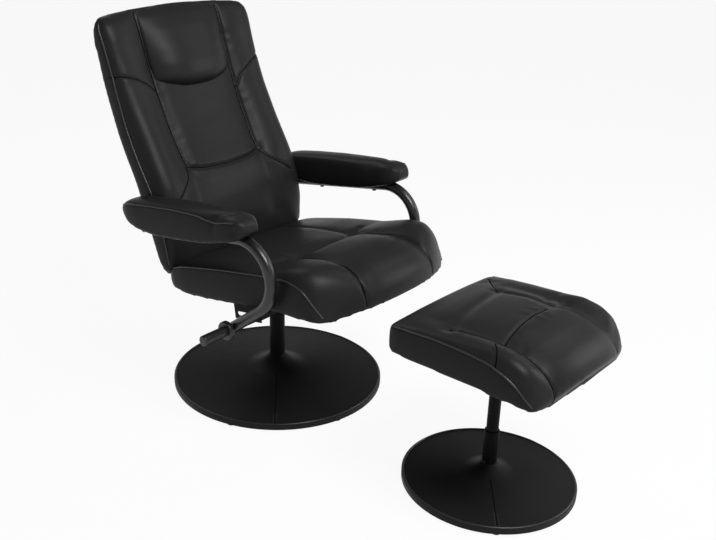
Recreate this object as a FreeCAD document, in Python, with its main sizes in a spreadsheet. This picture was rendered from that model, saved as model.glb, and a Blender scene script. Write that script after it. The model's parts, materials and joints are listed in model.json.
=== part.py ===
import FreeCAD, Part
import math
import os
import Sketcher

# Swivel recliner with a separate footstool.
# Origin: on the floor, on the chair's swivel axis. The chair faces -Y, +Z is up, +X is its right-hand side
# as someone facing the chair sees it. Sizes are millimetres and degrees.

SIZES = {
    # round pedestal of the chair
    "base_radius": 290,
    "base_rim": 14,
    "base_cone": 44,
    "base_flare_radius": 92,
    "base_flare_top": 80,
    "base_flare_bend": 105,
    "shell_wall": 2,
    "shell_flange": 26,
    "cover_wall": 1.2,
    "base_plate_wall": 5,
    "glide_height": 6,
    "glide_radius": 10,
    "glide_inset": 15,
    "glide_count": 6,
    "glide_start": 17,
    "weld_gap": 0.2,
    # post and swivel
    "post_radius": 21,
    "post_wall": 2.5,
    "post_top": 222,
    "spindle_radius": 13,
    "spindle_foot": 66,
    "bush_length": 28,
    "bush_flange": 3,
    "lower_bush_foot": 72,
    "hub_radius": 27,
    "running_gap": 0.05,
    "swivel_plate_wall": 5,
    "swivel_plate_width": 210,
    "swivel_plate_front": 22,
    "swivel_plate_rear": 58,
    "swivel_plate_corner": 14,
    # bent arm tubes
    "tube_radius": 14,
    "tube_wall": 2,
    "seat_arm_gap": 27,
    "back_arm_gap": 35,
    "arm_tilt": 8.5,
    "arm_run": 322,
    "arm_bend": 92,
    "arm_turn": 150.5,
    "arm_lower_run": 117,
    "arm_lower_tail": 16,
    "arm_rear_tail": 20,
    # arm pads
    "pad_outset": 10.5,
    "pad_half_width": 40,
    "pad_bottom": 18.5,
    "pad_height": 64,
    "pad_length": 390,
    "pad_rear": 27,
    "arm_board_wall": 9,
    "arm_board_width": 50,
    "arm_board_length": 300,
    "arm_board_rear": -30,
    "arm_screw_radius": 3,
    "arm_screw_pitch": 190,
    "arm_screw_front": 285,
    "screw_head_radius": 5.5,
    "screw_head_height": 3,
    # recline pivot
    "pivot_y": 180,
    "pivot_z": 483.5,
    "pivot_radius": 5,
    "pivot_bush_radius": 8,
    "pivot_bush_proud": 1,
    "pivot_head_radius": 9,
    "pivot_head_wall": 5,
    "pivot_plate_wall": 4,
    "pivot_plate_length": 84,
    "pivot_plate_reach": 16,
    # cross tube, lock rod and knob
    "cross_half_length": 199,
    "clamp_wall": 3,
    "clamp_gap": 0.3,
    "spacer_radius": 11,
    "spacer_wall": 3,
    "lock_rod_radius": 5,
    "lock_rod_depth": 46,
    "insert_length": 30,
    "knob_gap": 0.5,
    "collar_radius": 24,
    "collar_wall": 14,
    "grip_radius": 13,
    "grip_length": 72,
    "grip_round": 4,
    "nut_radius": 9,
    "nut_wall": 7,
    # slide rails and seat
    "seat_tilt": 9,
    "rail_offset": 85,
    "rail_width": 30,
    "rail_height": 20,
    "rail_wall": 2.5,
    "rail_front": -70,
    "rail_rear": 200,
    "rail_lift": 0.3,
    "slide_gap": 0.3,
    "runner_front": -120,
    "runner_rear": 165,
    "runner_top": 46,
    "stand_length": 26,
    "stand_inset": 3,
    "slot_length": 62,
    "slot_gap": 0.6,
    "clamp_margin": 9,
    "clamp_flange": 40,
    "seat_board_wall": 12,
    "seat_board_width": 440,
    "seat_board_front": -160,
    "seat_board_rear": 205,
    "seat_board_corner": 30,
    "seat_screw_radius": 2.5,
    "seat_screw_length": 26,
    "seat_screw_pitch": 180,
    "seat_width": 516,
    "seat_rear": 244,
    "seat_front": -276,
    "seat_thickness": 74,
    "seat_crown": 13,
    "seat_seam": 105,
    "seat_fold": -71,
    "seam_depth": 9,
    "side_bow": 3,
    "cushion_gap": 0.4,
    # back
    "back_tilt": 19,
    "back_width": 500,
    "back_board_front": 30,
    "back_board_wall": 10,
    "back_board_foot": -112,
    "back_board_top": 512,
    "back_board_corner": 45,
    "back_foot": -126,
    "back_top": 543,
    "back_seam": 131,
    "panel_foot": 127,
    "pillow_foot": 358,
    "pillow_half_width": 130,
    "pillow_back": 8,
    "pillow_depth": 34,
    "pillow_margin": 2,
    # footstool
    "stool_x": -39,
    "stool_y": -703,
    "stool_yaw": -2.5,
    "stool_base_radius": 200,
    "stool_base_cone": 36,
    "stool_flare_radius": 62,
    "stool_flare_top": 58,
    "stool_flare_bend": 70,
    "stool_glide_count": 4,
    "stool_glide_start": 36.5,
    "sleeve_radius": 17,
    "sleeve_wall": 3,
    "sleeve_top": 142,
    "sleeve_fit": 0.1,
    "sleeve_bolt_radius": 4,
    "sleeve_bolt_height": 66,
    "sleeve_bolt_length": 17,
    "stool_post_wall": 2,
    "stool_post_foot": 30,
    "stool_plate_width": 180,
    "stool_plate_depth": 150,
    "stool_plate_wall": 4,
    "stool_board_wall": 12,
    "stool_board_inset": 26,
    "stool_bottom": 355,
    "stool_width": 382,
    "stool_rear": 151,
    "stool_front": -200,
    "stool_thickness": 59,
    "stool_crown": 26,
    "stool_seam": 118,
    "stool_fold": 72,
    "stool_screw_pitch_x": 140,
    "stool_screw_pitch_y": 110,
}

doc = FreeCAD.newDocument("Recliner")
sheet = doc.addObject("Spreadsheet::Sheet", "dims")
for row, (alias, number) in enumerate(SIZES.items(), start=1):
    sheet.set(f"A{row}", str(number))
    sheet.setAlias(f"A{row}", alias)
doc.recompute()

nodes = []


def size(alias):
    return float(sheet.get(alias))


def value_of(expression):
    return float(sheet.evalExpression(expression))


def node(label, item):
    item.Label = label
    nodes.append(item)
    return item


# Frames: where a group of pieces sits, and how far it leans about X

turn = "dims.arm_turn"
reach_y = (
    f"(-dims.arm_run - dims.arm_bend * sin({turn}) - dims.arm_lower_run * cos({turn}))"
)
reach_z = (
    f"(-dims.arm_bend + dims.arm_bend * cos({turn}) - dims.arm_lower_run * sin({turn}))"
)
cross_y = f"(dims.pivot_y + {reach_y} * cos(dims.arm_tilt) + {reach_z} * sin(dims.arm_tilt))"
cross_z = f"(dims.pivot_z - {reach_y} * sin(dims.arm_tilt) + {reach_z} * cos(dims.arm_tilt))"

FRAMES = {
    "floor": ("0", "0", "0"),
    "arm": ("dims.pivot_y", "dims.pivot_z", "dims.arm_tilt"),
    "seat": (cross_y, cross_z, "dims.seat_tilt"),
    "back": ("dims.pivot_y", "dims.pivot_z", "dims.back_tilt"),
    "stool": ("dims.stool_y", "0", "0"),
}


def place(item, frame, x="0", y="0", z="0", along="z"):
    """Sets an item at a point of a frame, with its own Z axis along the frame's Z or X axis."""
    origin_y, origin_z, lean = FRAMES[frame]
    if along == "x":
        item.Placement.Rotation = FreeCAD.Rotation(FreeCAD.Vector(0, 1, 0), 90)
    elif lean != "0":
        item.Placement.Rotation = FreeCAD.Rotation(FreeCAD.Vector(1, 0, 0), -value_of(lean))
        item.setExpression("Placement.Rotation.Angle", f"-{lean} * 1deg")
    item.setExpression("Placement.Base.x", x)
    item.setExpression("Placement.Base.y", f"{origin_y} + ({y}) * cos({lean}) + ({z}) * sin({lean})")
    item.setExpression("Placement.Base.z", f"{origin_z} - ({y}) * sin({lean}) + ({z}) * cos({lean})")
    return item


def box(name, frame, x, y, z):
    item = doc.addObject("Part::Box", name)
    for side, span in zip(("Length", "Width", "Height"), (x, y, z)):
        item.setExpression(side, f"({span[1]}) - ({span[0]})")
    return place(item, frame, x[0], y[0], z[0])


def rod(name, frame, radius, x, y, z, along="z"):
    """A solid cylinder; the span that lies along its axis is a pair, the other two are single values."""
    item = doc.addObject("Part::Cylinder", name)
    item.setExpression("Radius", radius)
    spans = {"x": x, "z": z}
    low, high = spans[along]
    item.setExpression("Height", f"({high}) - ({low})")
    start = {"x": x, "y": y, "z": z}
    start[along] = low
    return place(item, frame, start["x"], start["y"], start["z"], along)


def cut(name, base, *tools):
    for number, tool in enumerate(tools):
        item = doc.addObject("Part::Cut", f"{name}_cut{number}")
        item.Base = base
        item.Tool = tool
        base = item
    return base


def fuse(name, *items):
    item = doc.addObject("Part::MultiFuse", name)
    item.Shapes = list(items)
    item.Refine = True
    return item


def group(name, items):
    item = doc.addObject("Part::Compound", name)
    item.Links = items
    return item


def tube(name, frame, radius, wall, x, y, z, along="z"):
    outer = rod(f"{name}_outer", frame, radius, x, y, z, along)
    inner = rod(f"{name}_inner", frame, f"({radius}) - ({wall})", x, y, z, along)
    return cut(name, outer, inner)


def origin_plane(body, role):
    return [item for item in body.Origin.OriginFeatures if item.Role == role][0]


def open_sketch(body, name, role):
    sketch = body.newObject("Sketcher::SketchObject", name)
    sketch.AttachmentSupport = [(origin_plane(body, role), "")]
    sketch.MapMode = "FlatFace"
    return sketch


def arc_between(start, end, radius, bend):
    """A circle's arc of under a half turn from start to end; bend 1 turns left, -1 turns right."""
    chord = end - start
    half = chord.Length / 2
    across = FreeCAD.Vector(-chord.y, chord.x, 0).normalize()
    centre = (start + end) / 2 + across * (bend * math.sqrt(max(radius**2 - half**2, 0)))
    ends = [start, end] if bend > 0 else [end, start]
    angles = [math.atan2(point.y - centre.y, point.x - centre.x) for point in ends]
    return Part.ArcOfCircle(Part.Circle(centre, FreeCAD.Vector(0, 0, 1), radius), *angles)


def outline(body, name, role, corners, closed=True):
    """A sketch through corners (x, y) or (x, y, radius, bend), each value bound to its expression."""
    sketch = open_sketch(body, name, role)
    points = [FreeCAD.Vector(value_of(c[0]), value_of(c[1]), 0) for c in corners]
    count = len(corners)
    links = count if closed else count - 1
    ends = []
    for i in range(links):
        start, end = points[i], points[(i + 1) % count]
        if len(corners[i]) == 4:
            radius, bend = corners[i][2], corners[i][3]
            sketch.addGeometry(arc_between(start, end, value_of(radius), bend), False)
            ends.append((1, 2) if bend > 0 else (2, 1))
        else:
            sketch.addGeometry(Part.LineSegment(start, end), False)
            ends.append((1, 2))
    for i in range(links if closed else links - 1):
        after = (i + 1) % links
        sketch.addConstraint(Sketcher.Constraint("Coincident", i, ends[i][1], after, ends[after][0]))
    for i in range(count):
        curve, end = (i, ends[i][0]) if i < links else (links - 1, ends[links - 1][1])
        for kind, number, expression in zip(("DistanceX", "DistanceY"), points[i], corners[i][:2]):
            index = sketch.addConstraint(Sketcher.Constraint(kind, -1, 1, curve, end, number))
            sketch.setExpression(f"Constraints[{index}]", expression)
        if i < links and len(corners[i]) == 4:
            radius = corners[i][2]
            index = sketch.addConstraint(Sketcher.Constraint("Radius", i, value_of(radius)))
            sketch.setExpression(f"Constraints[{index}]", radius)
    return sketch


def circles(body, name, role, rounds):
    """A sketch of circles (x, y, radius), each bound to its expressions."""
    sketch = open_sketch(body, name, role)
    upright = FreeCAD.Vector(0, 0, 1)
    for i, (x, y, radius) in enumerate(rounds):
        centre = FreeCAD.Vector(value_of(x), value_of(y), 0)
        sketch.addGeometry(Part.Circle(centre, upright, value_of(radius)), False)
        for kind, number, expression in (("DistanceX", centre.x, x), ("DistanceY", centre.y, y)):
            index = sketch.addConstraint(Sketcher.Constraint(kind, -1, 1, i, 3, number))
            sketch.setExpression(f"Constraints[{index}]", expression)
        index = sketch.addConstraint(Sketcher.Constraint("Radius", i, value_of(radius)))
        sketch.setExpression(f"Constraints[{index}]", radius)
    return sketch


def revolved(name, corners, x="0", frame="floor"):
    """A body turned about its upright axis from an outline of (radius, height) corners."""
    body = doc.addObject("PartDesign::Body", name)
    profile = outline(body, f"{name}_profile", "XZ_Plane", corners)
    turned = body.newObject("PartDesign::Revolution", f"{name}_turned")
    turned.Profile = profile
    turned.ReferenceAxis = (profile, ["V_Axis"])
    turned.Angle = 360
    return place(body, frame, x)


def padded_plate(name, role, corners, wall):
    """A body of one flat plate, its outline pushed out by its wall."""
    body = doc.addObject("PartDesign::Body", name)
    pad = body.newObject("PartDesign::Pad", f"{name}_pad")
    pad.Profile = outline(body, f"{name}_outline", role, corners)
    pad.setExpression("Length", wall)
    return body


def pocket_through(body, name, sketch):
    pocket = body.newObject("PartDesign::Pocket", name)
    pocket.Profile = sketch
    pocket.Type = "ThroughAll"
    pocket.SideType = "Symmetric"
    return pocket


def rounded_rectangle(x, y, corner):
    """Corners of an outline between the x and y spans, with a quarter arc at each corner."""
    return [
        (f"({x[0]}) + {corner}", y[0]),
        (f"({x[1]}) - {corner}", y[0], corner, 1),
        (x[1], f"({y[0]}) + {corner}"),
        (x[1], f"({y[1]}) - {corner}", corner, 1),
        (f"({x[1]}) - {corner}", y[1]),
        (f"({x[0]}) + {corner}", y[1], corner, 1),
        (x[0], f"({y[1]}) - {corner}"),
        (x[0], f"({y[0]}) + {corner}", corner, 1),
    ]


# Pedestals: a stamped shell with a leatherette cover, a ballast plate under it and glides on its flange


def pedestal(name, frame, x, disc, bore, glides):
    """disc holds the expressions of the radius, cone height, flare radius, flare top and flare bend."""
    radius, cone, flare_radius, flare_top, bend = disc
    foot = "dims.glide_height"
    skin = "dims.cover_wall"
    steel = "(dims.cover_wall + dims.shell_wall)"

    def rising(depth):
        return [
            (f"{radius} - {depth}", f"{foot} + dims.base_rim - {depth}"),
            (flare_radius, f"{cone} - {depth}", bend, -1),
            (bore, f"{flare_top} - {depth}"),
        ]

    def falling(depth):
        edge, knee, top = rising(depth)
        return [(*top, bend, 1), knee[:2], edge]

    plate_edge = f"({radius} - {steel} - dims.shell_flange - dims.weld_gap)"
    cover = [(radius, foot), *rising("0"), *falling(skin), (f"{radius} - {skin}", foot)]
    shell = [
        (f"{plate_edge} + dims.weld_gap", foot),
        (f"{radius} - {skin}", foot),
        *rising(skin),
        *falling(steel),
        (f"{radius} - {steel}", f"{foot} + dims.shell_wall"),
        (f"{plate_edge} + dims.weld_gap", f"{foot} + dims.shell_wall"),
    ]
    plate = [
        ("0", foot),
        (plate_edge, foot),
        (plate_edge, f"{foot} + dims.base_plate_wall"),
        ("0", f"{foot} + dims.base_plate_wall"),
    ]
    node(f"{name}_base_cover", revolved(f"{name}_base_cover", cover, x, frame))
    node(f"{name}_base_shell", revolved(f"{name}_base_shell", shell, x, frame))
    node(f"{name}_base_plate", revolved(f"{name}_base_plate", plate, x, frame))
    count, start = glides
    feet = []
    for i in range(round(size(count))):
        angle = f"(dims.{start} + {i} * 360 / dims.{count})"
        circle = f"({radius} - dims.glide_inset)"
        feet.append(
            rod(
                f"{name}_glide{i}",
                frame,
                "dims.glide_radius",
                f"{x} + {circle} * cos({angle})",
                f"{circle} * sin({angle})",
                ("0", foot),
            )
        )
    node(f"{name}_glides", group(f"{name}_glides", feet))


def chair_pedestal():
    disc = (
        "dims.base_radius",
        "dims.base_cone",
        "dims.base_flare_radius",
        "dims.base_flare_top",
        "dims.base_flare_bend",
    )
    bore = "(dims.post_radius + dims.weld_gap)"
    pedestal("chair", "floor", "0", disc, bore, ("glide_count", "glide_start"))


# Post and swivel

plate_top = "(dims.glide_height + dims.base_plate_wall)"
swivel_top = f"({cross_z} - dims.tube_radius)"
swivel_foot = f"({swivel_top} - dims.swivel_plate_wall)"
hub_foot = "(dims.post_top + dims.bush_flange)"
spindle_bore = "(dims.spindle_radius + dims.running_gap)"
post_bore = "(dims.post_radius - dims.post_wall)"


def chair_post():
    span = (plate_top, "dims.post_top")
    node("chair_post", tube("chair_post", "floor", "dims.post_radius", "dims.post_wall", "0", "0", span))


def swivel_bushes():
    upper = [
        (spindle_bore, "dims.post_top - dims.bush_length"),
        (post_bore, "dims.post_top - dims.bush_length"),
        (post_bore, "dims.post_top"),
        ("dims.post_radius", "dims.post_top"),
        ("dims.post_radius", hub_foot),
        (spindle_bore, hub_foot),
    ]
    lower = [
        (spindle_bore, "dims.lower_bush_foot"),
        (post_bore, "dims.lower_bush_foot"),
        (post_bore, "dims.lower_bush_foot + dims.bush_length"),
        (spindle_bore, "dims.lower_bush_foot + dims.bush_length"),
    ]
    node("swivel_bush_upper", revolved("swivel_bush_upper", upper))
    node("swivel_bush_lower", revolved("swivel_bush_lower", lower))


def swivel_spindle():
    corners = [
        ("0", "dims.spindle_foot"),
        ("dims.spindle_radius", "dims.spindle_foot"),
        ("dims.spindle_radius", hub_foot),
        ("dims.hub_radius", hub_foot),
        ("dims.hub_radius", swivel_foot),
        ("0", swivel_foot),
    ]
    node("swivel_spindle", revolved("swivel_spindle", corners))


def swivel_plate():
    half = "dims.swivel_plate_width / 2"
    front = f"{cross_y} - dims.swivel_plate_front"
    corners = rounded_rectangle(
        (f"-{half}", half), (front, "dims.swivel_plate_rear"), "dims.swivel_plate_corner"
    )
    body = padded_plate("swivel_plate", "XY_Plane", corners, "dims.swivel_plate_wall")
    node("swivel_plate", place(body, "floor", z=swivel_foot))


# Arm tubes, from the recline pivot forward, round the front bend and down to the cross tube


# the arms stand clear of the wider of the seat and the back
clear_of_seat = "dims.seat_width / 2 + dims.seat_arm_gap"
clear_of_back = "dims.back_width / 2 + dims.back_arm_gap"
arm_offset = f"max({clear_of_seat}; {clear_of_back})"
pad_offset = f"({arm_offset} + dims.pad_outset)"


def side_name(side):
    return "left" if side < 0 else "right"


def arm_tube(side):
    name = f"arm_tube_{side_name(side)}"
    tail = "dims.arm_rear_tail"
    run_end = f"-dims.arm_run - {tail}"
    bend_y = f"({run_end} - dims.arm_bend * sin({turn}))"
    bend_z = f"(-dims.arm_bend + dims.arm_bend * cos({turn}))"
    lower = "(dims.arm_lower_run + dims.arm_lower_tail)"
    body = doc.addObject("PartDesign::Body", name)
    path = outline(
        body,
        f"{name}_path",
        "YZ_Plane",
        [
            ("0", "0"),
            (run_end, "0", "dims.arm_bend", 1),
            (bend_y, bend_z),
            (f"{bend_y} - {lower} * cos({turn})", f"{bend_z} - {lower} * sin({turn})"),
        ],
        closed=False,
    )
    ring = circles(
        body,
        f"{name}_ring",
        "XZ_Plane",
        [("0", "0", "dims.tube_radius"), ("0", "0", "dims.tube_radius - dims.tube_wall")],
    )
    doc.recompute()
    pipe = body.newObject("PartDesign::AdditivePipe", f"{name}_pipe")
    pipe.Profile = ring
    pipe.Spine = path
    bores = circles(
        body,
        f"{name}_bores",
        "YZ_Plane",
        [
            (f"-{tail}", "0", "dims.pivot_bush_radius"),
            (f"{reach_y} - {tail}", reach_z, "dims.lock_rod_radius + dims.running_gap"),
        ],
    )
    pocket_through(body, f"{name}_cross_bores", bores)
    holes = circles(
        body,
        f"{name}_screw_holes",
        "XY_Plane",
        [("0", f"{spot} - {tail}", "dims.arm_screw_radius") for spot in arm_screw_spots()],
    )
    pocket_through(body, f"{name}_screw_bores", holes)
    node(name, place(body, "arm", f"{side} * {arm_offset}", tail))


def arm_screw_spots():
    return ["-dims.arm_screw_front", "(dims.arm_screw_pitch - dims.arm_screw_front)"]


def arm_board(side):
    name = f"arm_board_{side_name(side)}"
    middle = f"{side} * {pad_offset}"
    half = "dims.arm_board_width / 2"
    board = box(
        f"{name}_blank",
        "arm",
        (f"{middle} - {half}", f"{middle} + {half}"),
        ("dims.arm_board_rear - dims.arm_board_length", "dims.arm_board_rear"),
        ("dims.tube_radius", "dims.tube_radius + dims.arm_board_wall"),
    )
    holes = [
        rod(
            f"{name}_hole{i}",
            "arm",
            "dims.arm_screw_radius",
            f"{side} * {arm_offset}",
            spot,
            ("-dims.tube_radius", "dims.tube_radius + dims.arm_board_wall"),
        )
        for i, spot in enumerate(arm_screw_spots())
    ]
    node(name, cut(name, board, *holes))
    return board


def arm_screws():
    screws = []
    for side in (-1, 1):
        for i, spot in enumerate(arm_screw_spots()):
            name = f"arm_screw_{side_name(side)}{i}"
            x = f"{side} * {arm_offset}"
            low = "(-dims.tube_radius - dims.screw_head_height)"
            high = "dims.tube_radius + dims.arm_board_wall"
            shaft = rod(f"{name}_shaft", "arm", "dims.arm_screw_radius", x, spot, (low, high))
            span = (low, "-dims.tube_radius")
            head = rod(f"{name}_head", "arm", "dims.screw_head_radius", x, spot, span)
            screws.append(fuse(name, shaft, head))
    node("arm_screws", group("arm_screws", screws))


def pivot_bush(side):
    name = f"pivot_bush_{side_name(side)}"
    half = "(dims.tube_radius + dims.pivot_bush_proud)"
    middle = f"{side} * {arm_offset}"
    wall = "dims.pivot_bush_radius - dims.pivot_radius - dims.running_gap"
    span = (f"{middle} - {half}", f"{middle} + {half}")
    node(name, tube(name, "arm", "dims.pivot_bush_radius", wall, span, "0", "0", "x"))


# Cross tube and lock: the rod squeezes knob, arm, spacer, slotted clamp plate and cross tube together

cross_end = "dims.cross_half_length"
clamp_inner = f"({cross_end} + dims.clamp_gap)"
clamp_outer = f"({clamp_inner} + dims.clamp_wall)"
spacer_inner = f"({clamp_outer} + dims.clamp_gap)"
arm_inner = f"({arm_offset} - dims.tube_radius)"
arm_outer = f"({arm_offset} + dims.tube_radius)"
rod_bore = "(dims.lock_rod_radius + dims.running_gap)"
collar_inner = f"({arm_outer} + dims.knob_gap)"
collar_outer = f"({collar_inner} + dims.collar_wall)"
grip_outer = f"({collar_outer} + dims.grip_length)"
insert_inner = f"({cross_end} - dims.insert_length)"
rod_inner = f"({cross_end} - dims.lock_rod_depth)"


def span_x(side, low, high):
    """A span along X on one side of the chair, from its inner to its outer end."""
    return (f"-({high})", f"-({low})") if side < 0 else (low, high)


def cross_tube():
    span = (f"-{cross_end}", cross_end)
    item = tube("cross_tube", "seat", "dims.tube_radius", "dims.tube_wall", span, "0", "0", "x")
    node("cross_tube", item)


def cross_insert(side):
    """The threaded plug inside an end of the cross tube."""
    name = f"cross_insert_{side_name(side)}"
    radius = "(dims.tube_radius - dims.tube_wall)"
    span = span_x(side, insert_inner, cross_end)
    node(name, tube(name, "seat", radius, f"{radius} - {rod_bore}", span, "0", "0", "x"))


def arm_spacer(side):
    name = f"arm_spacer_{side_name(side)}"
    span = span_x(side, spacer_inner, arm_inner)
    node(name, tube(name, "seat", "dims.spacer_radius", "dims.spacer_wall", span, "0", "0", "x"))


def lock_knob():
    rod_span = span_x(-1, rod_inner, collar_inner)
    node("lock_rod", rod("lock_rod", "seat", "dims.lock_rod_radius", rod_span, "0", "0", "x"))
    collar_span = span_x(-1, collar_inner, collar_outer)
    collar = rod("collar_blank", "seat", "dims.collar_radius", collar_span, "0", "0", "x")
    node("knob_collar", rounded_ends("knob_collar", collar, "dims.grip_round"))
    grip_span = span_x(-1, collar_outer, grip_outer)
    grip = rod("grip_blank", "seat", "dims.grip_radius", grip_span, "0", "0", "x")
    node("knob_grip", rounded_ends("knob_grip", grip, "dims.grip_round", ends=("low",)))


def rounded_ends(name, cylinder, radius, ends=("low", "high")):
    """Rounds the end edges of a cylinder that lies along X."""
    doc.recompute()
    item = doc.addObject("Part::Fillet", name)
    item.Base = cylinder
    shape = cylinder.Shape
    wanted = {"low": shape.BoundBox.XMin, "high": shape.BoundBox.XMax}
    picked = []
    for number, edge in enumerate(shape.Edges, start=1):
        flat = isinstance(edge.Curve, Part.Circle)
        if flat and any(abs(edge.CenterOfMass.x - wanted[end]) < 0.01 for end in ends):
            picked.append((number, value_of(radius), value_of(radius)))
    item.Edges = picked
    return item


def right_arm_bolt():
    shaft_span = (rod_inner, arm_outer)
    shaft = rod("arm_bolt_shaft", "seat", "dims.lock_rod_radius", shaft_span, "0", "0", "x")
    head_span = (arm_outer, f"{arm_outer} + dims.nut_wall")
    head = rod("arm_bolt_head", "seat", "dims.nut_radius", head_span, "0", "0", "x")
    node("arm_bolt_right", fuse("arm_bolt_right", shaft, head))


# Slide rails under the seat

rail_foot = "(dims.tube_radius + dims.rail_lift)"
rail_floor = f"({rail_foot} + dims.rail_wall)"
board_foot = "dims.runner_top"
board_top = f"({board_foot} + dims.seat_board_wall)"


def slide_rail(side):
    name = f"slide_rail_{side_name(side)}"
    middle = f"{side} * dims.rail_offset"
    half = "dims.rail_width / 2"
    length = ("dims.rail_front", "dims.rail_rear")
    height = (rail_foot, f"{rail_foot} + dims.rail_height")
    channel = box(f"{name}_blank", "seat", (f"{middle} - {half}", f"{middle} + {half}"), length, height)
    inside = (f"{middle} - {half} + dims.rail_wall", f"{middle} + {half} - dims.rail_wall")
    hollow = box(f"{name}_hollow", "seat", inside, length, (rail_floor, height[1]))
    node(name, cut(name, channel, hollow))


def seat_runner(side):
    name = f"seat_runner_{side_name(side)}"
    middle = f"{side} * dims.rail_offset"
    half = "(dims.rail_width / 2 - dims.rail_wall - dims.slide_gap)"
    bar = box(
        f"{name}_bar",
        "seat",
        (f"{middle} - {half}", f"{middle} + {half}"),
        ("dims.runner_front", "dims.runner_rear"),
        (f"{rail_floor} + dims.slide_gap", board_foot),
    )
    node(name, cut(name, bar, *seat_screw_rods(f"{name}_hole", side)))


def seat_screw_rods(name, side):
    """The two upright screws that hold the seat board on one runner."""
    middle = "(dims.runner_front + dims.runner_rear) / 2"
    high = f"({board_top})"
    low = f"{high} - dims.seat_screw_length"
    return [
        rod(
            f"{name}{i}",
            "seat",
            "dims.seat_screw_radius",
            f"{side} * dims.rail_offset",
            f"{middle} + {step} * dims.seat_screw_pitch / 2",
            (low, high),
        )
        for i, step in enumerate((-1, 1))
    ]


def seat_screws():
    screws = seat_screw_rods("seat_screw_left", -1) + seat_screw_rods("seat_screw_right", 1)
    node("seat_screws", group("seat_screws", screws))


def rail_stand():
    """The wedge on the swivel plate that carries the rear of both rails."""
    half = "(dims.rail_offset + dims.rail_width / 2)"
    rear = "(dims.swivel_plate_rear - dims.stand_inset)"
    block = box(
        "rail_stand_blank",
        "floor",
        (f"-{half}", half),
        (f"{rear} - dims.stand_length", rear),
        (swivel_top, f"{swivel_top} + dims.rail_height"),
    )
    above = box(
        "rail_stand_above",
        "seat",
        (f"-2 * {half}", f"2 * {half}"),
        ("dims.rail_front", "2 * dims.rail_rear"),
        (rail_foot, f"{rail_foot} + 4 * dims.rail_height"),
    )
    node("rail_stand", cut("rail_stand", block, above))


def clamp_plate(side):
    """A plate hung under the seat board, slotted for the lock rod; its top is bent in under the board."""
    name = f"clamp_plate_{side_name(side)}"
    reach = "(dims.lock_rod_radius + dims.slot_gap)"
    edge = f"({reach} + dims.clamp_margin)"
    span = span_x(side, clamp_inner, clamp_outer)
    front, rear = f"-{edge}", f"dims.slot_length + {edge}"
    leg = box(f"{name}_leg", "seat", span, (front, rear), (f"-{edge}", board_foot))
    fold_span = span_x(side, f"{clamp_outer} - dims.clamp_flange", clamp_outer)
    fold = box(
        f"{name}_fold", "seat", fold_span, (front, rear), (f"{board_foot} - dims.clamp_wall", board_foot)
    )
    slot = box(f"{name}_slot", "seat", span, ("0", "dims.slot_length"), (f"-{reach}", reach))
    slot_front = rod(f"{name}_slot_front", "seat", reach, span, "0", "0", "x")
    slot_rear = rod(f"{name}_slot_rear", "seat", reach, span, "dims.slot_length", "0", "x")
    node(name, cut(name, fuse(f"{name}_bent", leg, fold), slot, slot_front, slot_rear))


def seat_board():
    half = "dims.seat_board_width / 2"
    corners = rounded_rectangle(
        (f"-{half}", half), ("dims.seat_board_front", "dims.seat_board_rear"), "dims.seat_board_corner"
    )
    body = padded_plate("seat_board_blank", "XY_Plane", corners, "dims.seat_board_wall")
    place(body, "seat", z=board_foot)
    holes = seat_screw_rods("seat_board_hole_left", -1) + seat_screw_rods("seat_board_hole_right", 1)
    node("seat_board", cut("seat_board", body, *holes))


# Upholstery: lofts through sections of lines and flat arcs


def bowed(start, end, bulge, outward):
    """An arc from start to end that stands out from its chord by bulge."""
    middle = (start + end) / 2 + outward * bulge
    return Part.Arc(start, middle, end).toShape()


def lobed_section(half, foot, edge, crown, valley, seam, to_point, draw):
    """One closed section: flat foot, sides bowed by draw, a top of three lobes that meet at two seams."""

    def at(across, up):
        return to_point(across, up)

    up = at(0, 1) - at(0, 0)
    side = at(1, 0) - at(0, 0)
    left_foot, right_foot = at(-half, foot), at(half, foot)
    left_edge, right_edge = at(-half, edge), at(half, edge)
    left_seam, right_seam = at(-seam, valley), at(seam, valley)
    lobe = max(crown - (edge + valley) / 2, 0.6) * 0.6
    edges = [
        Part.LineSegment(left_foot, right_foot).toShape(),
        bowed(right_foot, right_edge, draw, side),
        bowed(right_edge, right_seam, lobe, up),
        bowed(right_seam, left_seam, max(crown - valley, 0.6), up),
        bowed(left_seam, left_edge, lobe, up),
        bowed(left_edge, left_foot, draw, side * -1),
    ]
    return Part.Wire(edges)


def plain_section(half, foot, top, crown, to_point, draw):
    """One closed section with a flat foot, bowed sides and a single crowned top."""
    up = to_point(0, 1) - to_point(0, 0)
    side = to_point(1, 0) - to_point(0, 0)
    left_foot, right_foot = to_point(-half, foot), to_point(half, foot)
    left_top, right_top = to_point(-half, top), to_point(half, top)
    edges = [
        Part.LineSegment(left_foot, right_foot).toShape(),
        bowed(right_foot, right_top, draw, side),
        bowed(right_top, left_top, crown, up),
        bowed(left_top, left_foot, draw, side * -1),
    ]
    return Part.Wire(edges)


def frame_placement(frame, x=0.0):
    origin_y, origin_z, lean = FRAMES[frame]
    base = FreeCAD.Vector(x, value_of(origin_y), value_of(origin_z))
    return FreeCAD.Placement(base, FreeCAD.Rotation(FreeCAD.Vector(1, 0, 0), -value_of(lean)))


def soft_piece(name, sections, placement):
    item = doc.addObject("Part::Feature", name)
    item.Shape = Part.makeLoft(sections, True, False)
    item.Placement = placement
    return item


def upright_section(station):
    """Maps (across, up) of a section to the plane y = station."""
    return lambda across, up: FreeCAD.Vector(across, station, up)


def level_section(station):
    """Maps (across, forward) of a section to the plane z = station, with forward towards -Y."""
    return lambda across, forward: FreeCAD.Vector(across, -forward, station)


def level_rear_section(station):
    """Maps (across, rearward) of a section to the plane z = station."""
    return lambda across, rearward: FreeCAD.Vector(-across, rearward, station)


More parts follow.
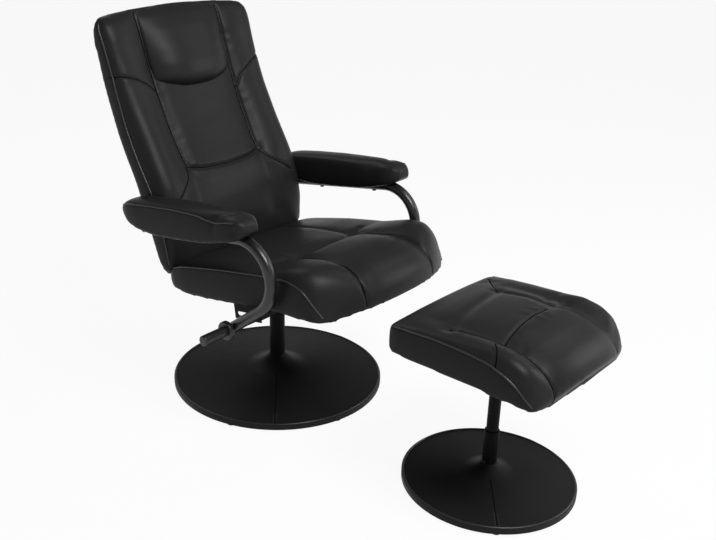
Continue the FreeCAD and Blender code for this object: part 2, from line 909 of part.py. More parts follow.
def seat_cushion():
    foot = value_of(board_top) + size("cushion_gap")
    half = size("seat_width") / 2
    rear, front, fold = size("seat_rear"), size("seat_front"), size("seat_fold")
    thick, crown, dip = size("seat_thickness"), size("seat_crown"), size("seam_depth")
    roll = fold - front
    # station along the seat, width drawn in, rise of the foot, drop of the edge, crown and seam shares
    stations = [
        (rear, 20, 8, 36, 0.3, 0.2),
        (rear - 26, 6, 1, 16, 0.7, 0.6),
        (rear - 60, 3, 0, 8, 0.9, 0.8),
        (rear - 105, 2, 0, 3, 1.0, 1.0),
        (rear - 155, 2, 0, 2, 1.0, 1.0),
        (rear - 205, 2, 0, 1, 1.0, 1.0),
        (fold + 72, 2, 0, 0, 1.0, 1.0),
        (fold + 32, 2, 0, 0, 0.9, 1.0),
        (fold, 2, 0, 0, 0.4, 0.6),
        (fold - 32, 2, 0, -2, 0.9, 1.0),
        (fold - 0.34 * roll, 2, 0, -4, 1.0, 1.0),
        (fold - 0.54 * roll, 2, 0, -3, 1.0, 1.0),
        (fold - 0.74 * roll, 6, -3, 13, 1.2, 0.9),
        (fold - 0.9 * roll, 18, -7, 38, 1.3, 0.6),
        (front, 42, -8, 62, 0.9, 0.2),
    ]
    sections = []
    for station, inset, rise, drop, swell, sewn in stations:
        edge = foot + thick - drop
        valley = edge + max(swell * crown - sewn * dip, 0.2)
        sections.append(
            lobed_section(
                half - inset - size("side_bow"),
                foot + rise,
                edge,
                edge + max(swell * crown, 0.8),
                valley,
                size("seat_seam"),
                upright_section(station),
                size("side_bow"),
            )
        )
    node("seat_cushion", soft_piece("seat_cushion", sections, frame_placement("seat")))


def back_cushion():
    """The front of the back: side bolsters, a sewn centre panel and a lumbar swell."""
    half = size("back_width") / 2 - size("side_bow") - size("cushion_gap")
    board = -size("back_board_front")
    foot, top = size("back_foot"), size("back_top")
    panel, pillow = size("panel_foot"), size("pillow_foot")
    seat_of_pillow = -size("pillow_back")
    head_room = top - pillow
    dip = size("seam_depth")
    # height, width drawn in, how far the edge stands forward of the pivot, centre swell, seam depth share
    stations = [
        (foot, 24, -14, 1, 0.1),
        (foot + 24, 7, -3, 6, 0.4),
        (foot + 80, 1, 24, 9, 0.5),
        (panel - 90, 0, 31, 16, 0.6),
        (panel - 26, 0, 27, 15, 0.9),
        (panel, 0, 25, 5, 0.9),
        (panel + 26, 0, 20, 13, 1.0),
        ((panel + pillow) / 2, 1, 2, 13, 1.0),
        (pillow - 56, 2, -7, 10, 1.0),
        (pillow - 6, 3, -11, 3, 0.3),
        (pillow + head_room * 12 / 37, 2, -15, 5, 0.3),
        (pillow + head_room * 25 / 37, 2, -20, 6, 0.3),
        (top - 22, 6, -23, 4, 0.2),
        (top, 26, -26, 3, 0.1),
    ]
    sections = []
    for station, inset, forward, swell, sewn in stations:
        over_pillow = station > pillow - 10
        crown = seat_of_pillow if over_pillow else forward + swell
        valley = seat_of_pillow - 0.7 if over_pillow else forward + max(swell - sewn * dip, 0.3)
        sections.append(
            lobed_section(
                half - inset,
                board,
                forward,
                max(crown, forward + 0.8),
                valley,
                size("back_seam"),
                level_section(station),
                size("side_bow"),
            )
        )
    cushion = soft_piece("back_cushion_whole", sections, frame_placement("back"))
    reach = "dims.pillow_half_width + dims.pillow_margin"
    pocket = box(
        "pillow_pocket",
        "back",
        (f"-({reach})", reach),
        ("dims.pillow_back - dims.pillow_depth", "dims.pillow_back + dims.cushion_gap"),
        ("dims.pillow_foot - dims.pillow_margin", "dims.back_top + dims.pillow_margin"),
    )
    node("back_cushion", cut("back_cushion", cushion, pocket))


def head_pillow():
    """The stuffed roll at head height, seated in a flat pocket of the cushion."""
    half = size("pillow_half_width") - size("side_bow")
    foot, top = size("pillow_foot"), size("back_top")
    back = -size("pillow_back")
    depth = size("pillow_depth")
    tall = top - foot
    stations = [
        (foot, 5, 0.14),
        (foot + 0.07 * tall, 2, 0.42),
        (foot + 0.25 * tall, 0, 0.72),
        (foot + 0.5 * tall, 0, 0.75),
        (foot + 0.78 * tall, 1, 0.58),
        (foot + 0.93 * tall, 4, 0.35),
        (top, 9, 0.12),
    ]
    sections = [
        plain_section(
            half - inset,
            back,
            back + depth * share * 0.62,
            depth * share * 0.38,
            level_section(station),
            size("side_bow"),
        )
        for station, inset, share in stations
    ]
    node("head_pillow", soft_piece("head_pillow", sections, frame_placement("back")))


def back_rear_pad():
    """The upholstered rear of the back, full at shoulder height."""
    half = size("back_width") / 2 - size("side_bow")
    board = size("back_board_front") + size("back_board_wall") + size("cushion_gap")
    foot, top = size("back_foot"), size("back_top")
    tall = top - foot
    stations = [
        (foot, 24, 1.5, 1),
        (foot + 0.06 * tall, 6, 3, 3),
        (foot + 0.18 * tall, 6, 3, 5),
        (foot + 0.3 * tall, 6, 5, 7),
        (foot + 0.5 * tall, 4, 16, 8),
        (foot + 0.68 * tall, 3, 25, 8),
        (foot + 0.86 * tall, 3, 19, 7),
        (foot + 0.95 * tall, 7, 11, 5),
        (top - 4, 26, 4, 2),
    ]
    sections = [
        plain_section(half - inset, board, board + thick, crown, level_rear_section(station), size("side_bow"))
        for station, inset, thick, crown in stations
    ]
    node("back_rear_pad", soft_piece("back_rear_pad", sections, frame_placement("back")))


def arm_pad(side, board):
    """A padded sleeve over the arm board, thicker behind and drawn to a blunt nose in front."""
    name = f"arm_pad_{side_name(side)}"
    half = size("pad_half_width") - size("side_bow")
    foot, tall = size("pad_bottom"), size("pad_height")
    rear, length = size("pad_rear"), size("pad_length")
    # share of the length from the rear, width drawn in, foot and top as shares of the height, crown
    stations = [
        (0.0, 13, 0.5, 0.62, 3),
        (0.03, 5, 0.28, 0.78, 5),
        (0.07, 2, 0.12, 0.82, 7),
        (0.13, 1, 0.03, 0.85, 9),
        (0.25, 0, 0.0, 0.86, 10),
        (0.5, 0, 0.0, 0.84, 10),
        (0.72, 0, 0.0, 0.76, 10),
        (0.86, 0, 0.02, 0.68, 9),
        (0.95, 3, 0.11, 0.58, 7),
        (1.0, 11, 0.26, 0.48, 3),
    ]
    sections = [
        plain_section(
            half - inset,
            foot + low * tall,
            foot + high * tall,
            crown,
            upright_section(rear - share * length),
            size("side_bow"),
        )
        for share, inset, low, high, crown in stations
    ]
    sleeve = soft_piece(f"{name}_sleeve", sections, frame_placement("arm", side * value_of(pad_offset)))
    node(name, cut(name, sleeve, board))


# Back frame and its pivots


def back_board():
    half = "dims.back_width / 2"
    corners = rounded_rectangle(
        (f"-{half}", half), ("dims.back_board_foot", "dims.back_board_top"), "dims.back_board_corner"
    )
    body = padded_plate("back_board_blank", "XZ_Plane", corners, "dims.back_board_wall")
    place(body, "back", y="dims.back_board_front + dims.back_board_wall")
    node("back_board", body)


def pivot_plate(side):
    """The steel ear on the edge of the back board that the arm's pivot bolt goes through."""
    name = f"pivot_plate_{side_name(side)}"
    inner = "dims.back_width / 2"
    span = span_x(side, inner, f"{inner} + dims.pivot_plate_wall")
    rear = "dims.back_board_front + dims.back_board_wall"
    half = "dims.pivot_plate_length / 2"
    ear = box(f"{name}_ear", "back", span, ("-dims.pivot_plate_reach", rear), (f"-{half}", half))
    hole = rod(f"{name}_hole", "back", "dims.pivot_radius", span, "0", "0", "x")
    node(name, cut(name, ear, hole))


def pivot_bolts():
    bolts = []
    ear_inner = "dims.back_width / 2"
    bush_outer = f"({arm_outer} + dims.pivot_bush_proud)"
    for side in (-1, 1):
        name = f"pivot_bolt_{side_name(side)}"
        span = span_x(side, ear_inner, f"{bush_outer} + dims.pivot_head_wall")
        shaft = rod(f"{name}_shaft", "back", "dims.pivot_radius", span, "0", "0", "x")
        head_span = span_x(side, bush_outer, f"{bush_outer} + dims.pivot_head_wall")
        head = rod(f"{name}_head", "back", "dims.pivot_head_radius", head_span, "0", "0", "x")
        bolts.append(fuse(name, shaft, head))
    node("pivot_bolts", group("pivot_bolts", bolts))


def pivot_spacers():
    rings = []
    low = "dims.back_width / 2 + dims.pivot_plate_wall"
    high = f"{arm_inner} - dims.pivot_bush_proud"
    wall = "dims.pivot_head_radius - dims.pivot_radius"
    for side in (-1, 1):
        name = f"pivot_spacer_{side_name(side)}"
        span = span_x(side, low, high)
        rings.append(tube(name, "back", "dims.pivot_head_radius", wall, span, "0", "0", "x"))
    node("pivot_spacers", group("pivot_spacers", rings))


# Footstool

stool_post_radius = "(dims.sleeve_radius - dims.sleeve_wall)"
stool_plate_foot = "(dims.stool_bottom - dims.stool_board_wall - dims.stool_plate_wall)"
stool_board_foot = "(dims.stool_bottom - dims.stool_board_wall)"


def stool_pedestal():
    disc = (
        "dims.stool_base_radius",
        "dims.stool_base_cone",
        "dims.stool_flare_radius",
        "dims.stool_flare_top",
        "dims.stool_flare_bend",
    )
    bore = "(dims.sleeve_radius + dims.weld_gap)"
    glides = ("stool_glide_count", "stool_glide_start")
    pedestal("stool", "stool", "dims.stool_x", disc, bore, glides)


def stool_column():
    x = "dims.stool_x"
    bolt_span = (
        f"{x} - {stool_post_radius} - dims.sleeve_bolt_length",
        f"{x} - {stool_post_radius} - dims.sleeve_fit",
    )
    height = "dims.sleeve_bolt_height"
    sleeve = tube(
        "stool_sleeve_plain",
        "stool",
        "dims.sleeve_radius",
        "dims.sleeve_wall - dims.sleeve_fit",
        x,
        "0",
        (plate_top, "dims.sleeve_top"),
    )
    thread = rod("stool_sleeve_thread", "stool", "dims.sleeve_bolt_radius", bolt_span, "0", height, "x")
    node("stool_sleeve", cut("stool_sleeve", sleeve, thread))
    bolt = rod("stool_bolt", "stool", "dims.sleeve_bolt_radius", bolt_span, "0", height, "x")
    node("stool_sleeve_bolt", bolt)
    post_span = ("dims.stool_post_foot", stool_plate_foot)
    post = tube("stool_post", "stool", stool_post_radius, "dims.stool_post_wall", x, "0", post_span)
    node("stool_post", post)


def place_turned(item, z):
    """Sets a piece of the stool's top on the stool's axis, turned as the stool stands."""
    item.Placement.Rotation = FreeCAD.Rotation(FreeCAD.Vector(0, 0, 1), size("stool_yaw"))
    item.setExpression("Placement.Rotation.Angle", "dims.stool_yaw * 1deg")
    item.setExpression("Placement.Base.x", "dims.stool_x")
    item.setExpression("Placement.Base.y", "dims.stool_y")
    item.setExpression("Placement.Base.z", z)
    return item


def stool_screw_rounds():
    half_x, half_y = "dims.stool_screw_pitch_x / 2", "dims.stool_screw_pitch_y / 2"
    return [
        (f"{i} * {half_x}", f"{j} * {half_y}", "dims.seat_screw_radius") for i in (-1, 1) for j in (-1, 1)
    ]


def stool_plate():
    half_x, half_y = "dims.stool_plate_width / 2", "dims.stool_plate_depth / 2"
    corners = rounded_rectangle(
        (f"-{half_x}", half_x), (f"-{half_y}", half_y), "dims.swivel_plate_corner"
    )
    body = padded_plate("stool_plate", "XY_Plane", corners, "dims.stool_plate_wall")
    rounds = circles(body, "stool_plate_rounds", "XY_Plane", stool_screw_rounds())
    pocket_through(body, "stool_plate_holes", rounds)
    node("stool_plate", place_turned(body, stool_plate_foot))


def stool_board():
    inset = "dims.stool_board_inset"
    half = f"(dims.stool_width / 2 - {inset})"
    corners = rounded_rectangle(
        (f"-{half}", half),
        (f"dims.stool_front + 2 * {inset}", f"dims.stool_rear - {inset}"),
        "dims.swivel_plate_corner",
    )
    body = padded_plate("stool_board", "XY_Plane", corners, "dims.stool_board_wall")
    rounds = circles(body, "stool_board_rounds", "XY_Plane", stool_screw_rounds())
    pocket_through(body, "stool_board_holes", rounds)
    node("stool_board", place_turned(body, stool_board_foot))


def stool_screws():
    body = doc.addObject("PartDesign::Body", "stool_screws")
    heads = [(x, y, "dims.screw_head_radius") for x, y, _ in stool_screw_rounds()]
    shaft = body.newObject("PartDesign::Pad", "stool_screw_shafts")
    shaft.Profile = circles(body, "stool_screw_shaft_rounds", "XY_Plane", stool_screw_rounds())
    shaft.setExpression("Length", "dims.stool_plate_wall + dims.stool_board_wall")
    head = body.newObject("PartDesign::Pad", "stool_screw_heads")
    head.Profile = circles(body, "stool_screw_head_rounds", "XY_Plane", heads)
    head.setExpression("Length", "dims.screw_head_height")
    head.Reversed = True
    node("stool_screws", place_turned(body, stool_plate_foot))


def stool_cushion():
    foot = size("cushion_gap")
    half = size("stool_width") / 2 - size("side_bow")
    rear, front, fold = size("stool_rear"), size("stool_front"), size("stool_fold")
    thick, crown, dip = size("stool_thickness"), size("stool_crown"), size("seam_depth")
    roll = -fold - front
    stations = [
        (rear, 4, 0, 6, 0.1, 0.1),
        (rear - 16, 0, 0, -1, 0.3, 0.3),
        (rear - 40, 0, 0, -3, 0.5, 0.4),
        (fold, 1, 0, -6, 0.6, 0.7),
        (fold / 2, 1, 0, -8, 0.9, 1.0),
        (0, 1, 0, -9, 1.0, 1.0),
        (-fold / 2, 1, 0, -9, 0.9, 1.0),
        (-fold, 1, 0, -7, 0.7, 0.7),
        (-fold - 0.25 * roll, 1, 0, -2, 0.9, 0.9),
        (-fold - 0.5 * roll, 2, 0, 11, 1.0, 0.9),
        (-fold - 0.78 * roll, 6, 0, 32, 0.9, 0.6),
        (front, 20, 0, 52, 0.5, 0.2),
    ]
    sections = []
    for station, inset, rise, drop, swell, sewn in stations:
        edge = foot + thick - drop
        sections.append(
            lobed_section(
                half - inset,
                foot + rise,
                edge,
                edge + max(swell * crown, 0.8),
                edge + max(swell * crown - sewn * dip, 0.2),
                size("stool_seam"),
                upright_section(station),
                size("side_bow"),
            )
        )
    base = FreeCAD.Vector(size("stool_x"), size("stool_y"), size("stool_bottom"))
    turned = FreeCAD.Rotation(FreeCAD.Vector(0, 0, 1), size("stool_yaw"))
    node("stool_cushion", soft_piece("stool_cushion", sections, FreeCAD.Placement(base, turned)))


# Assembly


def main():
    chair_pedestal()
    chair_post()
    swivel_bushes()
    swivel_spindle()
    swivel_plate()
    cross_tube()
    lock_knob()
    right_arm_bolt()
    rail_stand()
    arm_screws()
    for side in (-1, 1):
        arm_tube(side)
        pivot_bush(side)
        cross_insert(side)
        arm_spacer(side)
        slide_rail(side)
        seat_runner(side)
        clamp_plate(side)
        pivot_plate(side)
        doc.recompute()
        arm_pad(side, arm_board(side))
    seat_board()
    seat_screws()
    seat_cushion()
    back_board()
    back_cushion()
    head_pillow()
    back_rear_pad()
    pivot_bolts()
    pivot_spacers()
    stool_pedestal()
    stool_column()
    stool_plate()
    stool_board()
    stool_screws()
    stool_cushion()
    doc.recompute()
    check()
    os.makedirs("parts", exist_ok=True)
    for item in nodes:
        item.Shape.exportStep(f"parts/{item.Label}.step")
    print(len(nodes), "nodes written")


def check():
    faults = [item.Name for item in doc.Objects if {"Invalid", "Error"} & set(item.State)]
    for item in nodes:
        shape = item.Shape
        if shape.isNull() or not shape.isValid() or shape.Volume <= 0:
            faults.append(item.Label)
    if faults:
        raise RuntimeError(f"failed: {faults}")


main()
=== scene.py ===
import json
import math

import bmesh
import bpy
import numpy as np
from mathutils import Matrix, Vector
from mathutils.bvhtree import BVHTree


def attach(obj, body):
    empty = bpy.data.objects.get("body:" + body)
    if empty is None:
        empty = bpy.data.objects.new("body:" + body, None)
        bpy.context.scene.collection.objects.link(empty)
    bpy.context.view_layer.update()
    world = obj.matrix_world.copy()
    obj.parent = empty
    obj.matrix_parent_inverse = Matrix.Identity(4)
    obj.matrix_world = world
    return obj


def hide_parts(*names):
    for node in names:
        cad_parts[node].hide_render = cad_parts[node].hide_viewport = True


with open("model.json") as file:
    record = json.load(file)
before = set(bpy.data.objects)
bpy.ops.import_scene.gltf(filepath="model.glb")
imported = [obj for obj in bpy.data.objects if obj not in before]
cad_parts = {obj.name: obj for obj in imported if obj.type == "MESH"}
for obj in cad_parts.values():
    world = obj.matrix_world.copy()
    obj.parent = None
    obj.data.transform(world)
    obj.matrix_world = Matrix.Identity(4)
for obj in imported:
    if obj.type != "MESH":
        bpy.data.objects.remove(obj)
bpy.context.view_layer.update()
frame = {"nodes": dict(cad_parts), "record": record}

print("frame loaded:", len(frame["nodes"]), "nodes")


# shared helpers

def deselectAll():
    if bpy.context.object and bpy.context.object.mode != "OBJECT":
        bpy.ops.object.mode_set(mode="OBJECT")
    bpy.ops.object.select_all(action="DESELECT")


def takeUp(piece):
    deselectAll()
    piece.select_set(True)
    bpy.context.view_layer.objects.active = piece


def applyModifier(piece, name):
    takeUp(piece)
    bpy.ops.object.modifier_apply(modifier=name)


def dress(piece, finish):
    piece.data.materials.clear()
    piece.data.materials.append(finish)


def leanFrame(origin, lean):
    return Matrix.Translation(origin) @ Matrix.Rotation(math.radians(-lean), 4, "X")


def toArray(matrix):
    return np.array(matrix, float)


def carry(matrix, points):
    m = toArray(matrix)
    return points @ m[:3, :3].T + m[:3, 3]


def vertexValues(piece, key):
    values = np.empty(len(piece.data.vertices) * 3)
    piece.data.vertices.foreach_get(key, values)
    return values.reshape(-1, 3)


def meshPoints(piece):
    return vertexValues(piece, "co")


def meshNormals(piece):
    return vertexValues(piece, "normal")


def setPoints(piece, points):
    piece.data.vertices.foreach_set("co", np.ascontiguousarray(points).ravel())
    piece.data.update()


def fade(value, start, length):  # 0 up to the start, 1 once the length is run
    return np.clip((value - start) / length, 0, 1)


def eased(rows, times):  # rounds a run of points, with its ends held
    for _ in range(times):
        rows[1:-1] = 0.25 * rows[:-2] + 0.5 * rows[1:-1] + 0.25 * rows[2:]
    return rows


def runLength(line):  # distance run at each point of a line
    return np.concatenate([[0], np.cumsum(np.linalg.norm(np.diff(line, axis=0), axis=1))])


def spreadEven(rows, travel, count):  # as many rows as count, at even steps of travel
    at = np.linspace(0, travel[-1], count)
    return np.stack([np.interp(at, travel, rows[:, k]) for k in range(rows.shape[1])], 1)


def smoothTable(rows, count):  # rows of numbers by station, drawn out to count smooth rows
    rows = np.array(rows, float)
    travel = np.concatenate([[0], np.cumsum(np.abs(np.diff(rows[:, 0])) + 1e-6)])
    return eased(spreadEven(rows, travel, count), times=3)


def drawn(points, count=60):  # a line through a few points, eased at its corners
    points = np.array(points, float)
    return eased(spreadEven(points, runLength(points), count), times=4)


def lineDistance(points, line):  # distance of flat points to a drawn line
    line = np.array(line, float)
    best = np.full(len(points), 1e9)
    for a, b in zip(line, line[1:]):
        d = b - a
        t = np.clip(((points - a) @ d) / max(d @ d, 1e-12), 0, 1)
        best = np.minimum(best, np.linalg.norm(points - a - t[:, None] * d, axis=1))
    return best


def loftRings(name, rings):
    mesh = bpy.data.meshes.new(name)
    shape = bmesh.new()
    loops = [[shape.verts.new(spot) for spot in ring] for ring in rings]
    size = len(loops[0])
    for low, high in zip(loops, loops[1:]):
        for i in range(size):
            shape.faces.new((low[i], low[(i + 1) % size], high[(i + 1) % size], high[i]))
    caps = [shape.faces.new(loop) for loop in (loops[0], loops[-1])]
    bmesh.ops.triangulate(shape, faces=caps)
    bmesh.ops.recalc_face_normals(shape, faces=shape.faces)
    shape.to_mesh(mesh)
    shape.free()
    piece = bpy.data.objects.new(name, mesh)
    bpy.context.scene.collection.objects.link(piece)
    return piece


def evenOut(pad, field, times):  # averages a field of vectors over neighbouring points
    ends = np.empty(len(pad.data.edges) * 2, int)
    pad.data.edges.foreach_get("vertices", ends)
    one, two = ends.reshape(-1, 2).T
    count = np.bincount(ends, minlength=len(field))[:, None]
    for _ in range(times):
        total = np.zeros_like(field)
        for axis in range(3):
            total[:, axis] += np.bincount(one, field[two, axis], len(field))
            total[:, axis] += np.bincount(two, field[one, axis], len(field))
        field = 0.5 * field + 0.5 * total / np.maximum(count, 1)
    return field


def relax(pad, times, group=""):
    ease = pad.modifiers.new("ease", "SMOOTH")
    ease.factor = 0.5
    ease.iterations = times
    ease.vertex_group = group
    applyModifier(pad, "ease")


def refine(pad):
    finer = pad.modifiers.new("finer", "SUBSURF")
    finer.levels = 1
    finer.render_levels = 1
    applyModifier(pad, "finer")
    takeUp(pad)
    bpy.ops.object.shade_smooth()


def surfaceFinder(pad):
    corners = [v.co[:] for v in pad.data.vertices]
    return BVHTree.FromPolygons(corners, [p.vertices[:] for p in pad.data.polygons])


def weltOn(name, track, radius, body, finish, rise):  # a sewn welt along a track on the cover
    spots = eased(np.array([spot for spot, _ in track]), times=8)
    spots = spots + np.array([normal for _, normal in track]) * rise
    deselectAll()
    bpy.ops.curve.primitive_nurbs_path_add()
    welt = bpy.context.object
    welt.name = name
    welt.data.splines.clear()
    spline = welt.data.splines.new("POLY")
    spline.points.add(len(spots) - 1)
    spline.points.foreach_set("co", np.hstack([spots, np.ones((len(spots), 1))]).ravel())
    welt.data.bevel_depth = radius
    welt.data.bevel_resolution = 2
    welt.data.use_fill_caps = True
    bpy.ops.object.convert(target="MESH")
    welt = bpy.context.object
    bpy.ops.object.shade_smooth()
    dress(welt, finish)
    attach(welt, body)
    return welt


# finishes

class Wire:  # a socket in a finish's node tree
    def __init__(self, tree, socket=None):
        self.tree = tree
        self.socket = socket

    def add(self, kind, settings, inputs, out=0):
        made = self.tree.nodes.new(kind)
        for key, value in settings.items():
            setattr(made, key, value)
        for key, value in inputs.items():
            if isinstance(value, Wire):
                self.tree.links.new(value.socket, made.inputs[key])
            else:
                made.inputs[key].default_value = value
        return Wire(self.tree, made.outputs[out])

    def sum(self, operation, first, second):
        return self.add("ShaderNodeMath", {"operation": operation}, {0: first, 1: second})

    def __add__(self, other):
        return self.sum("ADD", self, other)

    __radd__ = __add__

    def __mul__(self, other):
        return self.sum("MULTIPLY", self, other)

    __rmul__ = __mul__


def newFinish(name):
    finish = bpy.data.materials.new(name)
    finish.use_nodes = True
    tree = finish.node_tree
    return finish, Wire(tree), tree.nodes["Principled BSDF"]


def plug(wire, shader, name):
    wire.tree.links.new(wire.socket, shader.inputs[name])


def objectSpot(pen):
    return pen.add("ShaderNodeTexCoord", {}, {}, "Object")


def noiseOn(pen, spot, scale, detail=3):
    return pen.add("ShaderNodeTexNoise", {}, {
        "Vector": spot, "Scale": scale, "Detail": detail, "Roughness": 0.55})


def blendColours(pen, factor, first, second):  # 6, 7 and 2 are the colour sockets of a Mix node
    return pen.add("ShaderNodeMix", {"data_type": "RGBA"}, {0: factor, 6: first, 7: second}, 2)


def greyOf(pen, colour):
    return pen.add("ShaderNodeRGBToBW", {}, {"Color": colour})


def bumpOn(pen, shader, height, strength, depth):
    bump = pen.add("ShaderNodeBump", {}, {"Strength": strength, "Distance": depth, "Height": height})
    plug(bump, shader, "Normal")


leatherette = {
    "dark": (0.012, 0.012, 0.0125, 1), "light": (0.022, 0.022, 0.023, 1), "rough": 0.33, "gloss": 0.11,
    "grainScale": 620, "grainDepth": 0.00016, "wearScale": 9, "cloudScale": 34,
}
# piping: the cover's leatherette made glossier, with a lighter colour that paints a highlight along the
# piped edges and the base rims
litPipingSpec = {
    **leatherette, "light": (0.03, 0.03, 0.031, 1), "rough": 0.25, "gloss": 0.5, "grainDepth": 0.00003,
}
# seam thread: a near-black matte cord laid in every seam, much darker than the cover, that paints the shade
# in the seam creases
shadeThreadSpec = {
    **leatherette, "dark": (0.0012, 0.0012, 0.0012, 1), "light": (0.002, 0.002, 0.002, 1),
    "rough": 0.8, "gloss": 0.05,
}
# stitches: real locked stitches, made of matte grey thread lighter than the cover, so that their colour
# paints the glint of the stitches
glintStitchSpec = {**shadeThreadSpec, "dark": (0.05, 0.05, 0.05, 1), "light": (0.09, 0.09, 0.09, 1)}
# base covers: the cover's leatherette made rougher and less glossy, with a darker colour that paints the
# shade on the pedestal bases
shadedBaseSkin = {
    **leatherette, "dark": (0.008, 0.008, 0.0085, 1), "light": (0.015, 0.015, 0.0155, 1),
    "rough": 0.42, "gloss": 0.12,
}


def leatheretteFinish(name, spec):
    finish, pen, shader = newFinish(name)
    spot = objectSpot(pen)
    pebble = pen.add("ShaderNodeTexVoronoi", {"feature": "SMOOTH_F1"}, {
        "Vector": spot, "Scale": spec["grainScale"], "Smoothness": 0.5})
    fine = noiseOn(pen, spot, spec["grainScale"] * 1.7, 2)
    wear = noiseOn(pen, spot, spec["wearScale"], 4)
    cloud = noiseOn(pen, spot, spec["cloudScale"])
    shade = blendColours(pen, wear * 0.7 + pebble * 0.45, spec["dark"], spec["light"])
    plug(shade, shader, "Base Color")
    plug(spec["rough"] + cloud * 0.08 + wear * 0.08, shader, "Roughness")
    bumpOn(pen, shader, pebble * 0.7 + fine * 0.4, 0.35, spec["grainDepth"])
    shader.inputs["Specular IOR Level"].default_value = spec["gloss"]
    return finish


blackPaint = {
    "dark": (0.006, 0.006, 0.0065, 1), "light": (0.011, 0.011, 0.012, 1), "rough": 0.28, "gloss": 0.55,
    "peelScale": 420, "peelStrength": 0.2, "peelDepth": 0.0002, "cloudScale": 14, "cloudDetail": 4,
}
postPaint = {**blackPaint, "rough": 0.42, "gloss": 0.08}
mouldedPlastic = {
    "dark": (0.008, 0.008, 0.009, 1), "light": (0.0144, 0.0144, 0.0162, 1), "rough": 0.3, "gloss": 0.5,
    "peelScale": 900, "peelStrength": 0.3, "peelDepth": 0.00015, "cloudScale": 25, "cloudDetail": 3,
}


def coatFinish(name, spec):  # paint or moulded plastic with a fine peel
    finish, pen, shader = newFinish(name)
    spot = objectSpot(pen)
    peel = noiseOn(pen, spot, spec["peelScale"], 2)
    cloud = noiseOn(pen, spot, spec["cloudScale"], spec["cloudDetail"])
    plug(blendColours(pen, cloud, spec["dark"], spec["light"]), shader, "Base Color")
    plug(spec["rough"] + cloud * 0.12, shader, "Roughness")
    bumpOn(pen, shader, peel, spec["peelStrength"], spec["peelDepth"])
    shader.inputs["Specular IOR Level"].default_value = spec["gloss"]
    return finish


zincPlate = {
    "dark": (0.10, 0.10, 0.105, 1), "light": (0.17, 0.17, 0.175, 1), "rough": 0.3,
    "flakeScale": 260, "cloudScale": 60,
}


def zincFinish(name, spec):
    finish, pen, shader = newFinish(name)
    spot = objectSpot(pen)
    flake = pen.add("ShaderNodeTexVoronoi", {}, {"Vector": spot, "Scale": spec["flakeScale"]}, "Color")
    cloud = noiseOn(pen, spot, spec["cloudScale"], 4)
    plug(blendColours(pen, cloud, spec["dark"], spec["light"]), shader, "Base Color")
    plug(spec["rough"] + greyOf(pen, flake) * 0.15, shader, "Roughness")
    shader.inputs["Metallic"].default_value = 1
    return finish


liningCloth = {
    "dark": (0.006, 0.006, 0.0065, 1), "light": (0.02, 0.02, 0.021, 1), "rough": 0.75,
    "weaveScale": 420, "cloudScale": 12,
}


def liningFinish(name, spec):  # woven black lining cloth under the boards
    finish, pen, shader = newFinish(name)
    spot = objectSpot(pen)
    threads = {"Vector": spot, "Scale": spec["weaveScale"], "Distortion": 0.4}
    warp = pen.add("ShaderNodeTexWave", {"bands_direction": "X"}, threads)
    weft = pen.add("ShaderNodeTexWave", {"bands_direction": "Y"}, threads)
    cloud = noiseOn(pen, spot, spec["cloudScale"])
    weave = pen.sum("MAXIMUM", greyOf(pen, warp), greyOf(pen, weft))
    shade = blendColours(pen, weave * 0.6 + cloud * 0.4, spec["dark"], spec["light"])
    plug(shade, shader, "Base Color")
    plug(spec["rough"] + cloud * 0.15, shader, "Roughness")
    bumpOn(pen, shader, weave, 0.4, 0.0003)
    return finish


leather = leatheretteFinish("black_leatherette_cover", leatherette)
litPipingLeather = leatheretteFinish("black_leatherette_piping", litPipingSpec)
shadeSeamThread = leatheretteFinish("black_seam_thread_painted_shade", shadeThreadSpec)
glintStitchThread = leatheretteFinish("grey_stitch_thread_painted_glint", glintStitchSpec)
shadedBaseLeather = leatheretteFinish("black_leatherette_base", shadedBaseSkin)
paint = coatFinish("black_tube_paint", blackPaint)
shadePaint = coatFinish("black_column_paint", postPaint)
finishBySlot = {
    "black_leatherette": leather,
    "black_steel": shadePaint,
    "black_plastic": coatFinish("black_moulded_plastic", mouldedPlastic),
    "zinc_steel": zincFinish("zinc_fastener", zincPlate),
    "black_board": liningFinish("black_lining_cloth", liningCloth),
}
finishByNode = {
    "chair_base_cover": shadedBaseLeather, "stool_base_cover": shadedBaseLeather,
    "arm_tube_left": paint, "arm_tube_right": paint,  # only the arm tubes carry the glossier coat
    "stool_sleeve_bolt": shadePaint, "arm_screws": shadePaint, "stool_screws": shadePaint,
}
for entry in frame["record"]["subparts"]:
    finish = finishByNode.get(entry["node"], finishBySlot[entry["material_slot"]])
    dress(frame["nodes"][entry["node"]], finish)
print("finishes ready")


# padded pieces

backPivot = (0, 0.180, 0.4835)
seatFrame = leanFrame((0, -0.1165, 0.2956), 9)
backFrame = leanFrame(backPivot, 19)
stoolFrame = Matrix.Translation((-0.039, -0.703, 0.355)) @ Matrix.Rotation(math.radians(-2.5), 4, "Z")


def padLocal(spec, points):  # across, along and up of world points on a pad
    local = carry(spec["frame"].inverted(), points)
    if spec["lying"]:
        return local
    return np.stack([local[:, 0], local[:, 2], -local[:, 1]], 1)


def padWorld(spec, points):
    points = np.asarray(points, float)
    if not spec["lying"]:
        points = np.stack([points[:, 0], -points[:, 2], points[:, 1]], 1)
    return carry(spec["frame"], points)


def padUp(spec, normals):
    turned = normals @ toArray(spec["frame"])[:3, :3]
    return turned[:, 2] if spec["lying"] else -turned[:, 1]


padSection = {
    "sidePoints": 9, "solePoints": 21, "roofPoints": 61,
    "bellyPower": 2.6, "lobePower": 0.52, "valleyWidth": 0.022, "nosePower": 1.5, "sagRun": 0.08,
}


